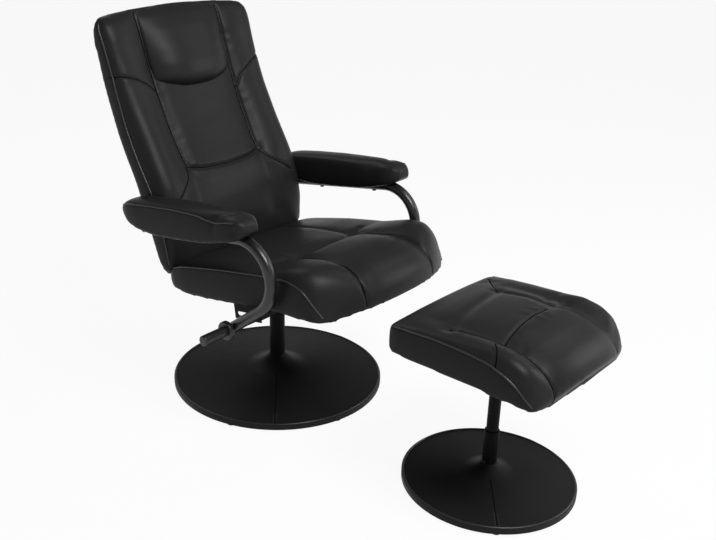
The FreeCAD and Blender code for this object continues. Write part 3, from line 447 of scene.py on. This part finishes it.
def padOutline(spec, half, foot, edge, top, drop, lobe):  # one section across a pad
    rise = np.linspace(0, 1, padSection["sidePoints"])[1:-1]
    sole = np.linspace(half, -half, padSection["solePoints"])
    belly = spec["belly"] * (1 - np.abs(sole / half) ** padSection["bellyPower"])
    sole = np.stack([sole, foot - belly], 1)
    side = np.stack([half + spec["bow"] * np.sin(np.pi * rise), foot + rise * (edge - foot)], 1)
    across = np.linspace(-half, half, padSection["roofPoints"])
    roof = edge + (top - edge) * (1 - np.abs(across / half) ** spec["power"])
    seam = spec["seamAt"]
    if seam:  # a lobe each side of the sewn seams
        out = np.clip((half - np.abs(across)) / (half - seam), 0, 1)
        valley = np.exp(-((np.abs(across) - seam) / padSection["valleyWidth"]) ** 2)
        roof += lobe * np.sin(np.pi * out ** padSection["lobePower"]) - drop * valley
    return np.concatenate([sole, side * (-1, 1), np.stack([across, roof], 1), side[::-1]])


def loftPad(spec):
    start, end, reach, power = spec["nose"]
    rings = []
    for along, half, *heights in smoothTable(spec["stations"], spec["rings"]):
        flat = padOutline(spec, half, *heights)
        middle = 1 - np.abs(flat[:, 0] / half).clip(0, 1) ** power
        ramp = fade(along, start, end - start) ** padSection["nosePower"]
        travel = along + reach * ramp * middle
        if spec["sag"]:
            run = (along - spec["stations"][0][0]) / padSection["sagRun"]
            travel -= max(0, 1 - run) * spec["sag"] * middle
        rings.append(padWorld(spec, np.stack([flat[:, 0], travel, flat[:, 1]], 1)))
    return loftRings(spec["name"], rings)


def edgeAt(spec, along):  # half width and height of the piped edge at places along a pad
    table = smoothTable(spec["stations"], spec["rings"])
    table = table[np.argsort(table[:, 0])]
    return np.interp(along, table[:, 0], table[:, 1]), np.interp(along, table[:, 0], table[:, 3])


stitchReach = 0.008  # how far from its line a seam holds the cover


def grip(off):
    return np.clip(1.4 - off / stitchReach, 0, 1)


def sewnPoints(spec, points, normals):  # 1 where the cover is held, 0 where it is free
    local = padLocal(spec, points)
    up = padUp(spec, normals)
    hold = np.where(up < -0.5, spec["backing"], 0.0)
    for seam in spec["seams"]:
        off = lineDistance(local[:, :2], seam["line"])
        hold = np.maximum(hold, np.where(up > 0.1, grip(off), 0))
    half, edge = edgeAt(spec, local[:, 1])
    off = np.hypot(np.abs(local[:, 0]) - half, local[:, 2] - edge)
    return np.maximum(hold, spec["edgeHold"] * grip(off))


clothRun = {"quality": 4, "mass": 0.25, "frames": 20, "holdSteps": 10}


def swell(spec, pad):  # remesh, then fill with air while the sewn points hold
    remesh = pad.modifiers.new("remesh", "REMESH")
    remesh.mode = "VOXEL"
    remesh.voxel_size = spec["voxel"]
    applyModifier(pad, "remesh")
    rest = meshPoints(pad)
    hold = sewnPoints(spec, rest, meshNormals(pad))
    group = pad.vertex_groups.new(name="sewn")
    steps = clothRun["holdSteps"]
    for step in range(1, steps + 1):
        picked = np.nonzero(np.round(hold * steps) == step)[0]
        if len(picked):
            group.add(picked.tolist(), step / steps, "REPLACE")
    cloth = pad.modifiers.new("cloth", "CLOTH")
    cloth.settings.quality = clothRun["quality"]
    cloth.settings.mass = clothRun["mass"]
    cloth.settings.tension_stiffness = spec["stretch"]
    cloth.settings.compression_stiffness = spec["stretch"]
    cloth.settings.shear_stiffness = spec["stretch"] / 2
    cloth.settings.bending_stiffness = spec["bend"]
    cloth.settings.use_pressure = True
    cloth.settings.uniform_pressure_force = spec["pressure"]
    cloth.settings.vertex_group_mass = "sewn"
    cloth.settings.effector_weights.gravity = 0
    cloth.collision_settings.use_collision = False
    for step in range(1, clothRun["frames"] + 1):
        bpy.context.scene.frame_set(step)
    applyModifier(pad, "cloth")
    bpy.context.scene.frame_set(1)
    moved = evenOut(pad, meshPoints(pad) - rest, spec["calm"])
    far = np.linalg.norm(moved, axis=1)
    keep = np.minimum(1, spec["cap"] / np.maximum(far, 1e-9))
    setPoints(pad, rest + moved * keep[:, None])
    pad.vertex_groups.clear()
    usual, most = (round(float(size) * 1000, 1) for size in (np.median(far), far.max()))
    print(pad.name, "swelled by", usual, "mm, most", most)


def softenLip(spec, pad):  # rounds the underside of a nosed front
    local = padLocal(spec, meshPoints(pad))
    edge = edgeAt(spec, local[:, 1])[1]
    under = np.nonzero((local[:, 1] < spec["lipFrom"]) & (local[:, 2] < edge))[0]
    lip = pad.vertex_groups.new(name="lip")
    lip.add(under.tolist(), 1, "REPLACE")
    relax(pad, spec["lipEase"], "lip")


def plump(spec, pad):  # lifts the cover off the filling a little, but not underneath
    normals = meshNormals(pad)
    lift = fade(padUp(spec, normals), -0.8, 0.3) if spec["lying"] else np.ones(len(normals))
    setPoints(pad, meshPoints(pad) + normals * (spec["plump"] * lift)[:, None])


gather = {  # waves in radians a metre, the rest in metres
    "waves": 125, "wander": 2.4, "wanderWaves": 41, "slant": 35,
    "reach": 0.045, "crest": 0.012, "width": 0.015,
}


def puckers(spec, local):  # the gathers that a sewn thread pulls beside a seam
    field = np.zeros(len(local))
    for count, seam in enumerate(spec["seams"]):
        line = seam["line"]
        off = lineDistance(local[:, :2], line)
        near = np.nonzero(off < gather["reach"])[0]
        gaps = np.linalg.norm(local[near, None, :2] - line[None, :, :], axis=2)
        at = runLength(line)[gaps.argmin(axis=1)]
        wander = gather["wander"] * np.sin(at * gather["wanderWaves"] + 3 * count)
        wave = np.sin(at * gather["waves"] + wander + gather["slant"] * off[near])
        field[near] += wave * np.exp(-((off[near] - gather["crest"]) / gather["width"]) ** 2)
    return field


def sinkSeams(spec, pad):  # presses each seam into the cover along its own normals
    points, normals = meshPoints(pad), meshNormals(pad)
    local = padLocal(spec, points)
    up = padUp(spec, normals)
    sink = np.zeros(len(local))
    for seam in spec["seams"] + spec["dimples"]:
        off = lineDistance(local[:, :2], seam["line"])
        groove = seam["depth"] * np.exp(-(off / seam["width"]) ** 2)
        sink = np.maximum(sink, groove * fade(up, -0.1, 0.25))
    sink += spec["pucker"] * puckers(spec, local) * fade(up, 0.1, 0.3)
    setPoints(pad, points - normals * sink[:, None])


def buildPad(spec):
    pad = loftPad(spec)
    swell(spec, pad)
    relax(pad, spec["ease"])
    if spec["lipFrom"]:
        softenLip(spec, pad)
    plump(spec, pad)
    refine(pad)
    sinkSeams(spec, pad)
    dress(pad, leather)
    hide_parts(*spec["replaces"])
    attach(pad, spec["body"])
    print("padded:", pad.name, len(pad.data.polygons), "faces")
    return pad


edgeRay = {"points": 150, "out": 0.06, "above": 0.045, "reach": 0.2}


def edgeTrack(spec, finder, side):  # the piped edge of a finished pad
    along = np.linspace(*spec["piping"], edgeRay["points"])
    track = []
    for t, half, edge in zip(along, *edgeAt(spec, along)):
        outer = (side * (half + edgeRay["out"]), t, edge + edgeRay["above"])
        start, aim = (Vector(spot) for spot in padWorld(spec, [outer, (side * half, t, edge)]))
        hit = finder.ray_cast(start, (aim - start).normalized(), edgeRay["reach"])
        if hit[0] is not None:
            track.append(hit[:2])
    return track


seamRay = {
    "points": 160, "height": 0.4, "lean": 0.3, "reach": 0.8, "gap": 0.03,
    "turn": 16, "sink": 0.5, "away": 0.45,  # where a seam runs down the nose
}


def seamTrack(spec, finder, line):  # a seam line laid on the finished pad
    core, height, lean = spec["core"], seamRay["height"], seamRay["lean"]
    start, end = spec["nose"][:2]
    ahead = np.sign(end - start)
    track = []
    for across, along in drawn(line, seamRay["points"]):
        over = fade(along, start, end - start)
        past = max(0, ahead * (along - end))  # how far the seam has gone down the nose
        aim = np.array((across, along, core))
        high = np.array((across, along + ahead * lean * over ** 2, height))
        if past:
            tilt = math.atan2(height - core, lean) - seamRay["turn"] * past
            aim = np.array((across, end, core - seamRay["sink"] * past))
            high = aim + seamRay["away"] * np.array((0, ahead * math.cos(tilt), math.sin(tilt)))
        high, aim = padWorld(spec, [high, aim])
        hit = finder.ray_cast(Vector(high), Vector(aim - high).normalized(), seamRay["reach"])
        if hit[0] is not None and (not track or (hit[0] - track[-1][0]).length < seamRay["gap"]):
            track.append(hit[:2])
    return track


sewing = {"pipingRise": 0.0008, "threadRadius": 0.0014, "threadRise": -0.0003, "fewest": 8}


def trimPad(spec, pad):  # piping round the edges, and in the seams a near-black thread cord that paints the shade of each crease
    finder = surfaceFinder(pad)
    body = spec["body"]
    for side in spec["pipedSides"]:
        name = f"{pad.name}_piping_{'left' if side < 0 else 'right'}"
        track = edgeTrack(spec, finder, side)
        weltOn(name, track, spec["pipingRadius"], body, litPipingLeather, sewing["pipingRise"])
    for count, seam in enumerate(spec["seams"], 1):
        track = seamTrack(spec, finder, seam["line"])
        if len(track) > sewing["fewest"]:
            name = f"{pad.name}_seam_{count}"
            weltOn(name, track, sewing["threadRadius"], body, shadeSeamThread, sewing["threadRise"])


def sewn(points, depth, width):
    return {"line": drawn(points), "depth": depth, "width": width}


def mirrored(points, depth, width):
    return [sewn([(side * x, y) for x, y in points], depth, width) for side in (-1, 1)]


def pressed(x, y, depth, width):  # a button-like dip where seams meet
    dips = [[(side * x, y), (side * (x - 0.002), y)] for side in (-1, 1)]
    return [{"line": dip, "depth": depth, "width": width} for dip in dips]


plainPad = {
    "lying": True, "rings": 90, "bow": 0.003, "power": 2.6, "belly": 0, "sag": 0,
    "seamAt": 0, "nose": (0, 1, 0, 2), "core": 0.05, "seams": [], "dimples": [], "pucker": 0.0004,
    "voxel": 0.006, "backing": 1.0, "edgeHold": 0.8, "pressure": 3, "stretch": 25, "bend": 10,
    "calm": 24, "cap": 0.014, "ease": 3, "lipFrom": 0, "lipEase": 24, "plump": 0.004, "fill": 0.7,
    "pipedSides": (-1, 1), "pipingRadius": 0.0021,
}

seatPad = {
    **plainPad, "name": "seat_upholstery", "frame": seatFrame, "body": "seat", "replaces": ["seat_cushion"],
    "seamAt": 0.118, "nose": (-0.09, -0.250, -0.056, 2.4), "belly": -0.010, "core": 0.07, "lipFrom": -0.20,
    "piping": (0.235, -0.2565),
    # along the seat, half width, foot, piped edge, crown, seam drop, side lobe, before the cover is filled
    "stations": [
        (0.258, 0.238, 0.072, 0.098, 0.102, 0, 0),
        (0.246, 0.248, 0.058, 0.112, 0.117, 0, 0.001),
        (0.200, 0.252, 0.050, 0.122, 0.129, 0.001, 0.002),
        (0.127, 0.253, 0.047, 0.127, 0.134, 0.002, 0.003),
        (0.040, 0.254, 0.047, 0.131, 0.137, 0.003, 0.004),
        (-0.040, 0.254, 0.047, 0.132, 0.138, 0.004, 0.004),
        (-0.071, 0.254, 0.047, 0.132, 0.136, 0.005, 0.004),
        (-0.120, 0.255, 0.046, 0.132, 0.143, 0.005, 0.010),
        (-0.172, 0.256, 0.042, 0.129, 0.146, 0.005, 0.019),
        (-0.210, 0.255, 0.036, 0.118, 0.139, 0.006, 0.025),
        (-0.236, 0.251, 0.029, 0.089, 0.122, 0.006, 0.025),
        (-0.251, 0.244, 0.025, 0.056, 0.098, 0.004, 0.018),
        (-0.257, 0.234, 0.026, 0.042, 0.074, 0.002, 0.006),
    ],
    "seams": mirrored(
        [(0.114, -0.071), (0.118, -0.12), (0.122, -0.20), (0.130, -0.26), (0.134, -0.31)], 0.0055, 0.0045),
    "dimples": mirrored([(0.110, 0.25), (0.112, 0.08), (0.112, -0.071)], 0.003, 0.009)
    + mirrored([(0.112, -0.071), (0.165, -0.060)], 0.004, 0.010)
    + mirrored([(0.114, -0.071), (0.05, -0.084), (0.0, -0.086)], 0.007, 0.013)
    + pressed(0.112, -0.071, 0.006, 0.020),
}

backPad = {
    **plainPad, "name": "back_upholstery", "frame": backFrame, "body": "back",
    "replaces": ["back_cushion", "back_rear_pad", "back_board"], "lying": False, "rings": 130,
    "belly": 0.006, "backing": 0.9, "bow": 0.001, "ease": 4, "piping": (-0.11, 0.520),
    "seamAt": 0.134, "nose": (0.42, 0.534, 0.014, 2.2), "core": -0.03, "power": 3.0,
    # height up the back, half width, rear, piped front edge, forward crown, seam drop, bolster
    "stations": [
        (-0.134, 0.240, -0.034, -0.018, -0.010, 0, 0),
        (-0.120, 0.250, -0.037, -0.006, 0.002, 0, 0.005),
        (-0.080, 0.254, -0.037, 0.004, 0.016, 0, 0.014),
        (-0.040, 0.256, -0.037, 0.011, 0.028, 0, 0.022),
        (0.020, 0.257, -0.038, 0.014, 0.039, 0, 0.026),
        (0.080, 0.257, -0.040, 0.010, 0.039, 0.002, 0.028),
        (0.118, 0.257, -0.043, 0.002, 0.030, 0.006, 0.030),
        (0.157, 0.257, -0.049, -0.007, 0.020, 0.008, 0.031),
        (0.200, 0.256, -0.057, -0.015, 0.012, 0.009, 0.031),
        (0.250, 0.256, -0.062, -0.021, 0.004, 0.009, 0.029),
        (0.300, 0.255, -0.064, -0.023, -0.002, 0.008, 0.024),
        (0.345, 0.255, -0.065, -0.023, -0.006, 0.008, 0.021),
        (0.390, 0.255, -0.064, -0.022, -0.008, 0.009, 0.018),
        (0.430, 0.256, -0.060, -0.021, -0.009, 0.009, 0.016),
        (0.475, 0.258, -0.054, -0.020, -0.010, 0.007, 0.017),
        (0.508, 0.259, -0.046, -0.021, -0.013, 0.004, 0.015),
        (0.526, 0.254, -0.040, -0.023, -0.017, 0.002, 0.009),
        (0.535, 0.243, -0.036, -0.026, -0.022, 0, 0.003),
    ],
    "seams": mirrored([(0.140, 0.348), (0.137, 0.30), (0.135, 0.20), (0.132, 0.121)], 0.0042, 0.0045)
    + mirrored(
        [(0.139, 0.350), (0.140, 0.395), (0.141, 0.43), (0.143, 0.48), (0.144, 0.515), (0.143, 0.531)],
        0.004, 0.0045)
    + [
        sewn([(-0.258, 0.386), (-0.212, 0.371), (-0.168, 0.350), (-0.139, 0.328)], 0.003, 0.004),
        sewn([(0.258, 0.386), (0.205, 0.362), (0.160, 0.332), (0.137, 0.298)], 0.003, 0.004),
    ]
    + mirrored([(0.132, 0.121), (0.154, 0.087), (0.215, 0.040)], 0.0025, 0.004)
    + [sewn([(-0.132, 0.121), (-0.085, 0.109), (0, 0.104), (0.085, 0.109), (0.132, 0.121)], 0.006, 0.006)],
    "dimples": pressed(0.132, 0.121, 0.006, 0.012),
}

pillowPad = {
    **plainPad, "name": "head_roll_upholstery", "frame": backFrame, "body": "back",
    "replaces": ["head_pillow"], "lying": False, "rings": 60, "pipedSides": (),
    "bow": 0.0, "power": 2.8, "sag": 0.022, "edgeHold": 0, "fill": 0.8,
    "nose": (0.44, 0.534, 0.010, 2.2), "voxel": 0.005, "cap": 0.010, "plump": 0.002,
    "stations": [
        (0.352, 0.125, -0.036, -0.022, 0.006, 0, 0),
        (0.357, 0.131, -0.036, -0.016, 0.020, 0, 0),
        (0.368, 0.134, -0.036, -0.013, 0.030, 0, 0),
        (0.395, 0.135, -0.036, -0.011, 0.033, 0, 0),
        (0.430, 0.136, -0.036, -0.011, 0.029, 0, 0),
        (0.480, 0.138, -0.036, -0.012, 0.018, 0, 0),
        (0.515, 0.139, -0.037, -0.014, 0.004, 0, 0),
        (0.532, 0.138, -0.038, -0.018, -0.008, 0, 0),
        (0.541, 0.134, -0.040, -0.026, -0.019, 0, 0),
    ],
}

stoolPad = {
    **plainPad, "name": "stool_upholstery", "frame": stoolFrame, "body": "footstool",
    "replaces": ["stool_cushion"], "rings": 80, "bow": 0.002, "voxel": 0.005, "seamAt": 0.128,
    "nose": (-0.05, -0.186, -0.026, 2.4), "core": 0.02, "lipFrom": -0.13, "piping": (0.150, -0.188),
    "stations": [
        (0.163, 0.180, 0.003, 0.054, 0.058, 0, 0),
        (0.154, 0.189, -0.001, 0.061, 0.069, 0, 0.001),
        (0.100, 0.192, -0.003, 0.065, 0.079, 0.001, 0.004),
        (0.050, 0.192, -0.003, 0.068, 0.084, 0.002, 0.005),
        (0.000, 0.192, -0.003, 0.068, 0.088, 0.003, 0.007),
        (-0.050, 0.192, -0.004, 0.066, 0.090, 0.004, 0.011),
        (-0.090, 0.192, -0.005, 0.062, 0.089, 0.004, 0.019),
        (-0.131, 0.192, -0.008, 0.048, 0.081, 0.004, 0.024),
        (-0.160, 0.190, -0.011, 0.030, 0.066, 0.003, 0.025),
        (-0.182, 0.185, -0.016, 0.004, 0.043, 0.002, 0.016),
        (-0.190, 0.177, -0.016, -0.006, 0.022, 0, 0.004),
    ],
    "seams": [
        sewn(
            [(-0.150, 0.036), (-0.140, -0.02), (-0.132, -0.083), (-0.127, -0.15), (-0.132, -0.24)],
            0.003, 0.004),
        sewn([(-0.152, -0.074), (-0.175, -0.090), (-0.195, -0.102)], 0.001, 0.003),
        sewn([(-0.132, -0.083), (-0.05, -0.070), (0.012, -0.064), (0.055, -0.067)], 0.003, 0.005),
        sewn([(0.085, 0.070), (0.110, 0.098), (0.150, 0.135)], 0.003, 0.004),
    ],
    "dimples": [
        sewn([(-0.150, 0.036), (-0.05, 0.055), (0.085, 0.070)], 0.003, 0.013),
        sewn([(0.085, 0.070), (0.095, 0.0), (0.085, -0.066)], 0.004, 0.010),
        sewn([(0.080, -0.045), (0.120, -0.035), (0.165, -0.040)], 0.002, 0.010),
        sewn([(0.085, -0.066), (0.110, -0.074), (0.135, -0.074)], 0.002, 0.007),
        sewn([(0.085, -0.066), (0.115, -0.13), (0.128, -0.22)], 0.002, 0.006),
        sewn([(-0.150, 0.036), (-0.152, 0.036)], 0.005, 0.016),
        sewn([(-0.132, -0.083), (-0.134, -0.083)], 0.002, 0.016),
        sewn([(0.085, 0.070), (0.083, 0.070)], 0.005, 0.015),
        sewn([(0.085, -0.066), (0.083, -0.066)], 0.003, 0.016),
    ],
}

armPad = {
    **plainPad, "rings": 70, "bow": 0.002, "edgeHold": 0.6, "body": "chair_frame", "power": 3.0,
    "voxel": 0.005, "cap": 0.010, "ease": 2, "plump": 0.003,
    "piping": (0.034, -0.362), "pipingRadius": 0.0018, "outAt": 0.2955, "lean": 8.5,
    "fold": [(0.036, -0.300), (0.024, -0.318), (0.010, -0.334)],  # tuck over the front
    # along the arm, half width, foot, piped edge, crown
    "stations": [
        (0.050, 0.022, 0.050, 0.058, 0.060, 0, 0),
        (0.040, 0.030, 0.040, 0.065, 0.070, 0, 0),
        (0.020, 0.036, 0.021, 0.070, 0.077, 0, 0),
        (-0.010, 0.038, 0.008, 0.071, 0.079, 0, 0),
        (-0.067, 0.038, -0.004, 0.071, 0.079, 0, 0),
        (-0.165, 0.038, -0.007, 0.068, 0.076, 0, 0),
        (-0.245, 0.038, -0.007, 0.061, 0.071, 0, 0),
        (-0.285, 0.038, -0.004, 0.051, 0.069, 0, 0),
        (-0.312, 0.038, 0.000, 0.047, 0.067, 0, 0),
        (-0.338, 0.038, 0.004, 0.051, 0.063, 0, 0),
        (-0.360, 0.035, 0.008, 0.051, 0.058, 0, 0),
        (-0.374, 0.028, 0.014, 0.048, 0.052, 0, 0),
        (-0.380, 0.018, 0.022, 0.042, 0.045, 0, 0),
    ],
}


def armPadFor(side):
    word = "left" if side < 0 else "right"
    fold = [(side * across, along) for across, along in armPad["fold"]]
    return {
        **armPad, "name": f"arm_pad_upholstery_{word}", "replaces": [f"arm_pad_{word}"],
        "frame": leanFrame((side * armPad["outAt"], *backPivot[1:]), armPad["lean"]),
        "pipedSides": (side,), "dimples": [sewn(fold, 0.0025, 0.009)],
    }


for spec in (seatPad, backPad, pillowPad, stoolPad, armPadFor(-1), armPadFor(1)):
    trimPad(spec, buildPad(spec))
print("upholstery done")


# pedestal trim

pedestalTrim = [
    # cover, body, heading of its radial seam
    ("chair_base_cover", "chair_base", (-0.75, -0.66)),
    ("stool_base_cover", "footstool", (-0.80, -0.60)),
]
rimWelt = {"inset": 0.003, "points": 145, "radius": 0.0026, "rise": -0.0004}
radialSeam = {"from": 0.24, "inset": 0.004, "points": 80, "radius": 0.0009, "rise": 0.0001}
lockStitch = {
    "pairs": 7, "inset": 0.008, "pitch": 0.006, "apart": 0.004, "length": 0.0036, "points": 4,
    "radius": 0.0006, "rise": 0.0003,
}


def trimPedestal(node, body, heading):
    cover = frame["nodes"][node]
    corners = meshPoints(cover)
    centre = (corners.min(0) + corners.max(0)) / 2
    radius = (corners[:, 0].max() - corners[:, 0].min()) / 2
    finder = surfaceFinder(cover)

    def sewOn(name, spots, spec, finish):  # spots are a distance out and a turn, met from above
        track = []
        for out, turn in spots:
            above = Vector((centre[0] + out * math.cos(turn), centre[1] + out * math.sin(turn), 0.5))
            hit = finder.ray_cast(above, Vector((0, 0, -1)), 1)
            if hit[0] is not None:
                track.append(hit[:2])
        return weltOn(f"{node}_{name}", track, spec["radius"], body, finish, spec["rise"])

    turns = np.linspace(0, 2 * math.pi, rimWelt["points"])
    # the rim welt takes the piping finish, whose lighter colour paints its highlight line
    sewOn("rim_welt", [(radius - rimWelt["inset"], turn) for turn in turns], rimWelt, litPipingLeather)
    turn = math.atan2(heading[1], heading[0])
    outs = np.linspace(radius * radialSeam["from"], radius - radialSeam["inset"], radialSeam["points"])
    # the radial seam's near-black thread paints the shade of the seam's crease
    sewOn("radial_seam", [(out, turn) for out in outs], radialSeam, shadeSeamThread)
    backs = np.linspace(0, lockStitch["length"], lockStitch["points"])
    stitches = []
    for count in range(lockStitch["pairs"]):  # locked stitches where the seam turns under the rim
        out = radius - lockStitch["inset"] - count * lockStitch["pitch"]
        for shift in (-lockStitch["apart"], lockStitch["apart"]):
            spots = [(out - back, turn + shift / out) for back in backs]
            stitches.append(sewOn("stitch", spots, lockStitch, glintStitchThread))
    deselectAll()
    for stitch in stitches:
        stitch.select_set(True)
    bpy.context.view_layer.objects.active = stitches[0]
    bpy.ops.object.join()
    stitches[0].name = f"{node}_stitches"
    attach(stitches[0], body)


for node, body, heading in pedestalTrim:
    trimPedestal(node, body, heading)
print("pedestal trim done")


# floor, light and camera

studio = {
    "floorSize": 60, "floorShade": (0.86, 0.86, 0.86, 1), "floorRough": 0.9, "floorShown": 0.93,
    "worldLight": 0.1, "worldShown": 0.83, "backdropFade": (0.12, 0.34),
}


def shownRays(pen):  # rays that look straight at the background, and those that meet it in a shine
    names = ("Is Camera Ray", "Is Glossy Ray", "Is Transmission Ray")
    direct, glossy, through = (pen.add("ShaderNodeLightPath", {}, {}, name) for name in names)
    return direct, pen.sum("MAXIMUM", glossy, through)


def buildFloor():
    deselectAll()
    bpy.ops.mesh.primitive_plane_add(size=studio["floorSize"], location=(0, 0, 0))
    floor = bpy.context.object
    floor.name = "studio_floor"
    finish, pen, shader = newFinish("studio_floor_white")
    shader.inputs["Base Color"].default_value = studio["floorShade"]
    shader.inputs["Roughness"].default_value = studio["floorRough"]
    shown = pen.sum("MAXIMUM", *shownRays(pen)) * studio["floorShown"]
    glow = pen.add("ShaderNodeEmission", {}, {"Color": (1, 1, 1, 1), "Strength": 1})
    matte = Wire(pen.tree, shader.outputs[0])
    mixed = pen.add("ShaderNodeMixShader", {}, {0: shown, 1: matte, 2: glow})
    plug(mixed, pen.tree.nodes["Material Output"], "Surface")
    dress(floor, finish)


def buildWorld():
    world = bpy.data.worlds.new("studio_world")
    bpy.context.scene.world = world
    world.use_nodes = True
    back = world.node_tree.nodes["Background"]
    back.inputs["Color"].default_value = (1, 1, 1, 1)
    pen = Wire(world.node_tree)
    direct, shine = shownRays(pen)
    outward = pen.add("ShaderNodeTexCoord", {}, {}, "Generated")
    height = pen.add("ShaderNodeSeparateXYZ", {}, {"Vector": outward}, "Z")
    low, high = studio["backdropFade"]
    backdrop = pen.add("ShaderNodeMapRange", {"interpolation_type": "SMOOTHSTEP"}, {
        "Value": height, "From Min": low, "From Max": high, "To Min": 1, "To Max": 0})  # dim above it
    seen = pen.sum("MAXIMUM", direct, backdrop * shine)
    plug(studio["worldLight"] + studio["worldShown"] * seen, back, "Strength")


studioLamps = [
    # name, place, aim, size across, watts
    ("key_softbox", (-0.4, -2.0, 2.8), (0, -0.1, 0.4), 1.1, 78),
    ("front_softbox", (2.3, -2.3, 1.6), (0, -0.2, 0.5), 1.1, 22),
    ("side_softbox", (1.8, -0.9, 2.3), (0, -0.3, 0.4), 1.0, 7),
    ("rear_softbox", (0.5, 2.0, 2.7), (0, -0.3, 0.4), 1.4, 14),
]


def buildLamps():
    for name, place, aim, size, watts in studioLamps:
        deselectAll()
        bpy.ops.object.light_add(type="AREA", location=place)
        lamp = bpy.context.object
        lamp.name = name
        lamp.data.energy = watts
        lamp.data.size = size
        lamp.rotation_euler = (Vector(aim) - Vector(place)).to_track_quat("-Z", "Y").to_euler()


photoCamera = {
    "place": (-1.699, -1.573, 1.2826), "down": 22.41, "heading": -47.64,
    "lens": 46.56, "sensor": 36, "shift": 0.1039,
}


def buildCamera(spec):
    deselectAll()
    turn = (math.radians(90 - spec["down"]), 0, math.radians(spec["heading"]))
    bpy.ops.object.camera_add(location=spec["place"], rotation=turn)
    camera = bpy.context.object
    camera.name = "photo_camera"
    camera.data.sensor_width = spec["sensor"]
    camera.data.lens = spec["lens"]
    camera.data.shift_x = spec["shift"]
    bpy.context.scene.camera = camera


buildFloor()
buildWorld()
buildLamps()
buildCamera(photoCamera)
bpy.context.scene.view_settings.view_transform = "Standard"
print("studio ready")
